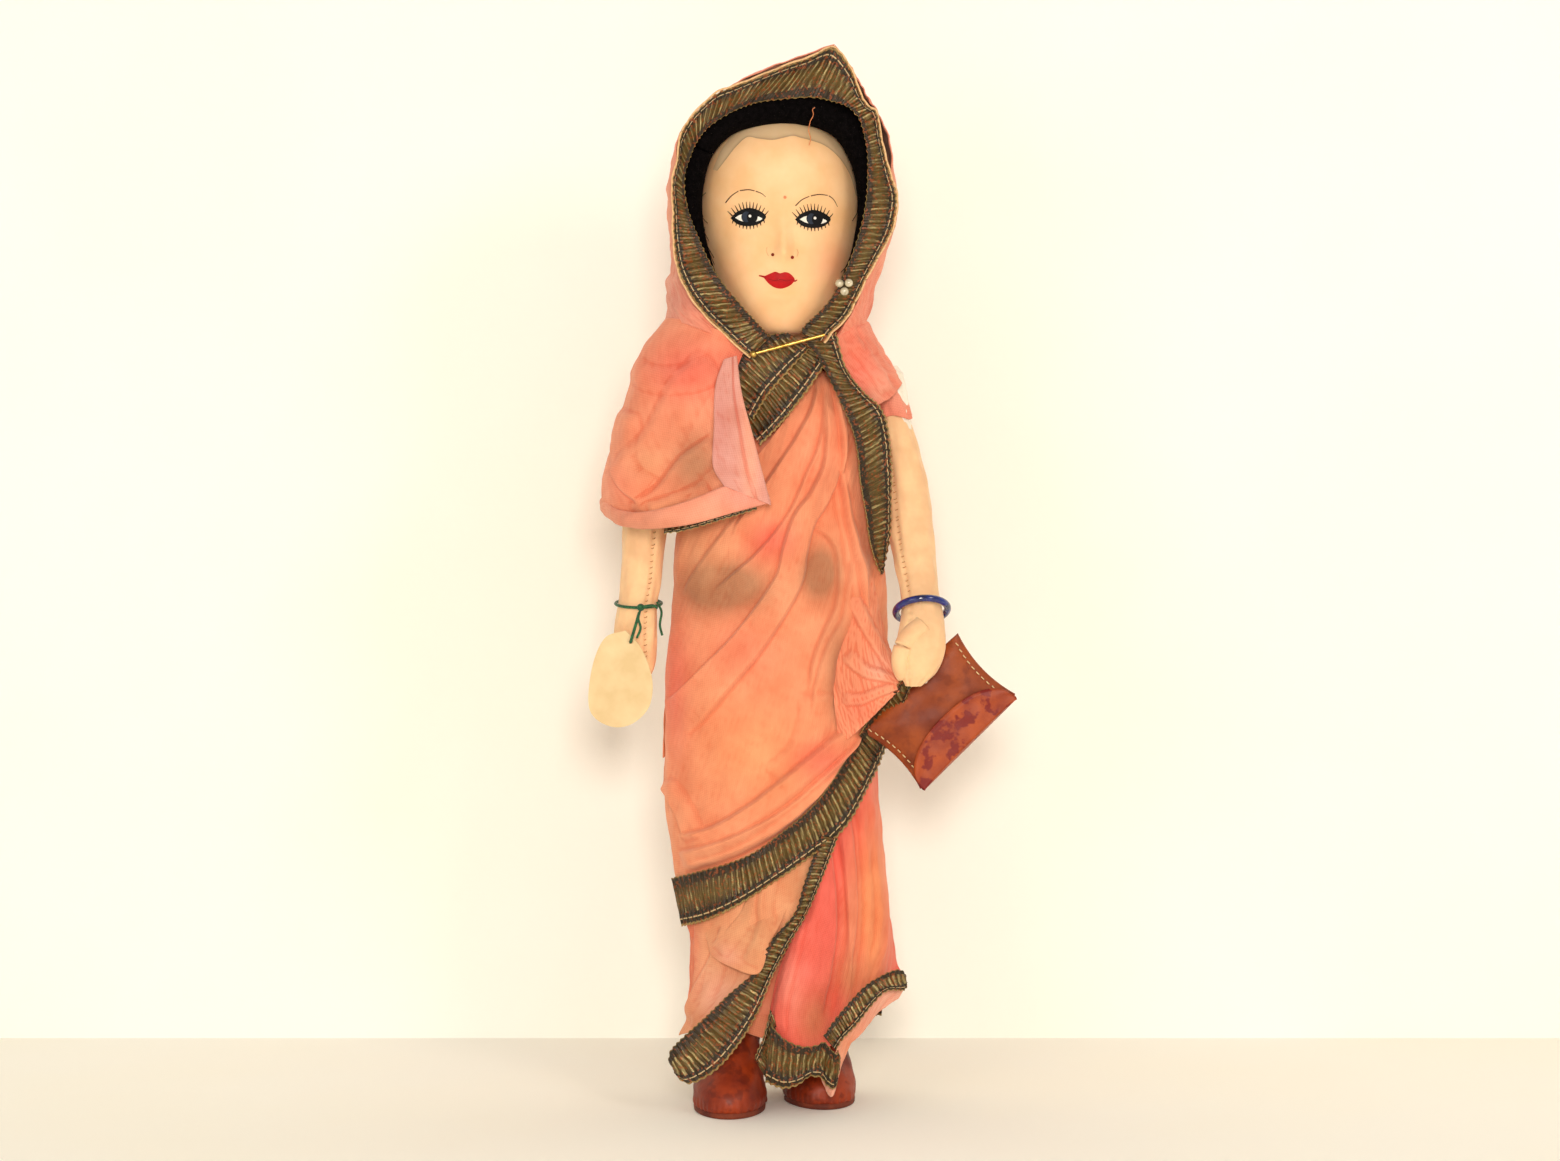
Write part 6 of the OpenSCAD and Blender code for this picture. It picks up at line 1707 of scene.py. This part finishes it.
@dataclass
class Tag:
    """The blank card tag: an egg-shaped disc, slightly bowed, with a hole for its thread."""

    outline: Sequence = ((-46.8, 127.4), (-42.6, 122.6), (-39.8, 114.6), (-40.5, 107.4), (-44.6, 102.9), (-49.8, 101.7),
                         (-55, 104.2), (-56.7, 109), (-55.4, 118.6), (-52.2, 125.4), (-46.8, 127.4))
    hole: tuple[float, float] = (-45.4, 124.4)

    def make(self, card: bpy.types.Material) -> None:
        """Builds the card: rings from the hole's edge out to the outline, two faces and a cut edge."""
        edge = spline(self.outline, 121)[:-1]
        angle = np.arctan2(edge[:, 1] - self.hole[1], edge[:, 0] - self.hole[0])
        inner = np.array(self.hole) + 0.55 * np.stack([np.cos(angle), np.sin(angle)], axis=-1)
        v = np.linspace(0, 1, 24)[:, None, None]
        flat = inner * (1 - v) + edge * v
        bow = 0.3 * ((flat[..., 0] + 48) / 9) ** 2 * 0.6 + 0.08 * np.sin(flat[..., 1] / 5)
        sides = [np.stack([flat[..., 0], -9.0 - depth - bow * 0.5, flat[..., 1]], axis=-1) for depth in (0.5, 0.12)]
        front = Patch.grid(sides[0], ring=True, flip=bool(grid_normals(sides[0])[..., 1].sum() > 0))
        rear = Patch.grid(sides[1], ring=True, flip=bool(grid_normals(sides[1])[..., 1].sum() < 0))
        rims = []
        for row in (0, -1):
            rim = np.stack([sides[0][row], sides[1][row]])
            centre = np.array([*self.hole[:1], -9.3, self.hole[1]]) if row == 0 else rim.mean(axis=(0, 1))
            turned = outwards(rim, centre, False)[1]
            rims.append(Patch.grid(rim, ring=True, flip=turned != (row == 0)))
        Piece("tag_card", join([front, rear, *rims]), card, "tag_paper", "tag", ["paper_tag"]).make()


@dataclass
class Studio:
    """A pale shelf and wall, soft light and the camera."""

    wall_y: float = 84.0
    eye: Point = (-6.0, -1000.0, 214.0)
    aim: Point = (-6.0, 0.0, 139.9)
    frame_width: float = 415.4

    def plane(self, name: str, corners: Sequence, material: bpy.types.Material) -> None:
        """A flat board between four corners."""
        mesh = bpy.data.meshes.new(name)
        mesh.from_pydata([tuple(c * MM for c in p) for p in corners], [], [(0, 1, 2, 3)])
        board = bpy.data.objects.new(name, mesh)
        bpy.context.scene.collection.objects.link(board)
        mesh.materials.append(material)

    def light(self, name: str, at: Point, size: float, watts: float, tone: str) -> None:
        """A square area light that looks at the doll."""
        data = bpy.data.lights.new(name, "AREA")
        data.size, data.energy, data.color = size * MM, watts, linear(tone)[:3]
        lamp = bpy.data.objects.new(name, data)
        lamp.location = Vector(at) * MM
        lamp.rotation_euler = (Vector((-6, 0, 130)) - Vector(at)).to_track_quat("-Z", "Y").to_euler()
        bpy.context.scene.collection.objects.link(lamp)

    def make(self, paint: bpy.types.Material) -> None:
        """Builds the boards, lights, world and camera."""
        w, y = 1500.0, self.wall_y
        self.plane("shelf", ((-w, -900, 0), (w, -900, 0), (w, y, 0), (-w, y, 0)), paint)
        self.plane("backdrop", ((-w, y, 0), (w, y, 0), (w, y, 1500), (-w, y, 1500)), paint)
        self.light("key", (15, -1000, 345), 170, 5.1, "#fff4ea")
        self.light("side", (620, -760, 520), 240, 1.9, "#fff2e6")
        self.light("fill", (-560, -860, 300), 400, 1.3, "#fff8f0")
        world = bpy.data.worlds.new("soft_room")
        world.use_nodes = True
        world.node_tree.nodes["Background"].inputs["Color"].default_value = linear("#fffaf0")
        world.node_tree.nodes["Background"].inputs["Strength"].default_value = 0.4
        scene = bpy.context.scene
        scene.world = world
        scene.view_settings.view_transform = "Standard"
        data = bpy.data.cameras.new("camera")
        distance = (Vector(self.aim) - Vector(self.eye)).length
        data.lens = data.sensor_width * distance / self.frame_width
        data.clip_end = 10
        camera = bpy.data.objects.new("camera", data)
        camera.location = Vector(self.eye) * MM
        camera.rotation_euler = (Vector(self.aim) - Vector(self.eye)).to_track_quat("-Z", "Y").to_euler()
        scene.collection.objects.link(camera)
        scene.camera = camera


CAD_FINISHES = {
    "skin": ("torso_skin", "neck_pad", "right_leg_skin", "left_leg_skin", "head_back_skin"),
    "kapok": ("torso_stuffing", "right_leg_stuffing", "left_leg_stuffing", "head_stuffing", "right_arm_stuffing",
              "left_arm_stuffing"),
    "wire": ("right_leg_wire", "left_leg_wire", "right_arm_wire", "left_arm_wire"),
    "wood": ("neck_dowel",),
    "cotton": ("shoulder_thread", "bag_stitch"),
    "tape": ("waist_tape",),
    "blouse": ("blouse_body", "petticoat"),
    "brass": ("neck_pin",),
    "pearl": ("pearl_earring",),
    "green": ("wrist_thread", "tag_thread"),
    "glass": ("glass_bangle",),
}


def dress_cad(finishes: dict[str, bpy.types.Material]) -> None:
    """Puts a finish on every CAD node that stays in sight, and smooths nothing: its mesh is left alone."""
    for finish, nodes in CAD_FINISHES.items():
        for node in nodes:
            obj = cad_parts[node]
            obj.data.materials.clear()
            obj.data.materials.append(finishes[finish])
            LOG.info("%s: %s", node, finish)


def main() -> None:
    """Builds the doll class by class, then the studio."""
    logging.basicConfig(level=logging.INFO, format="%(message)s")
    finishes = {name: finish.make() for name, finish in FINISHES.items()}
    finishes["cotton"] = Finish("cotton_thread_bleached", ("#e8dcc4", "#fff6e2"), 0.6, 0.85, 0, 0.05, 0.3).make()
    finishes.update({name: hide.make() for name, hide in LEATHERS.items()})
    muslin = Muslin("sari_muslin_hand_woven").make()
    blouse = Muslin("blouse_cotton_plain_weave", 0.7, 0.3).make()
    zari = Zari().make()
    Studio().make(finishes["wall"])
    dress_cad(finishes)
    Head().make(finishes)
    Limbs().make(finishes, blouse)
    Sari().make(muslin, zari)
    Shoulders().make(muslin, zari)
    Hood().make(muslin, zari, finishes["thread"])
    Shoes().make(finishes["shoe"], finishes["sole"])
    Bag().make(finishes)
    Tag().make(finishes["paper"])


if __name__ == "__main__":
    main()
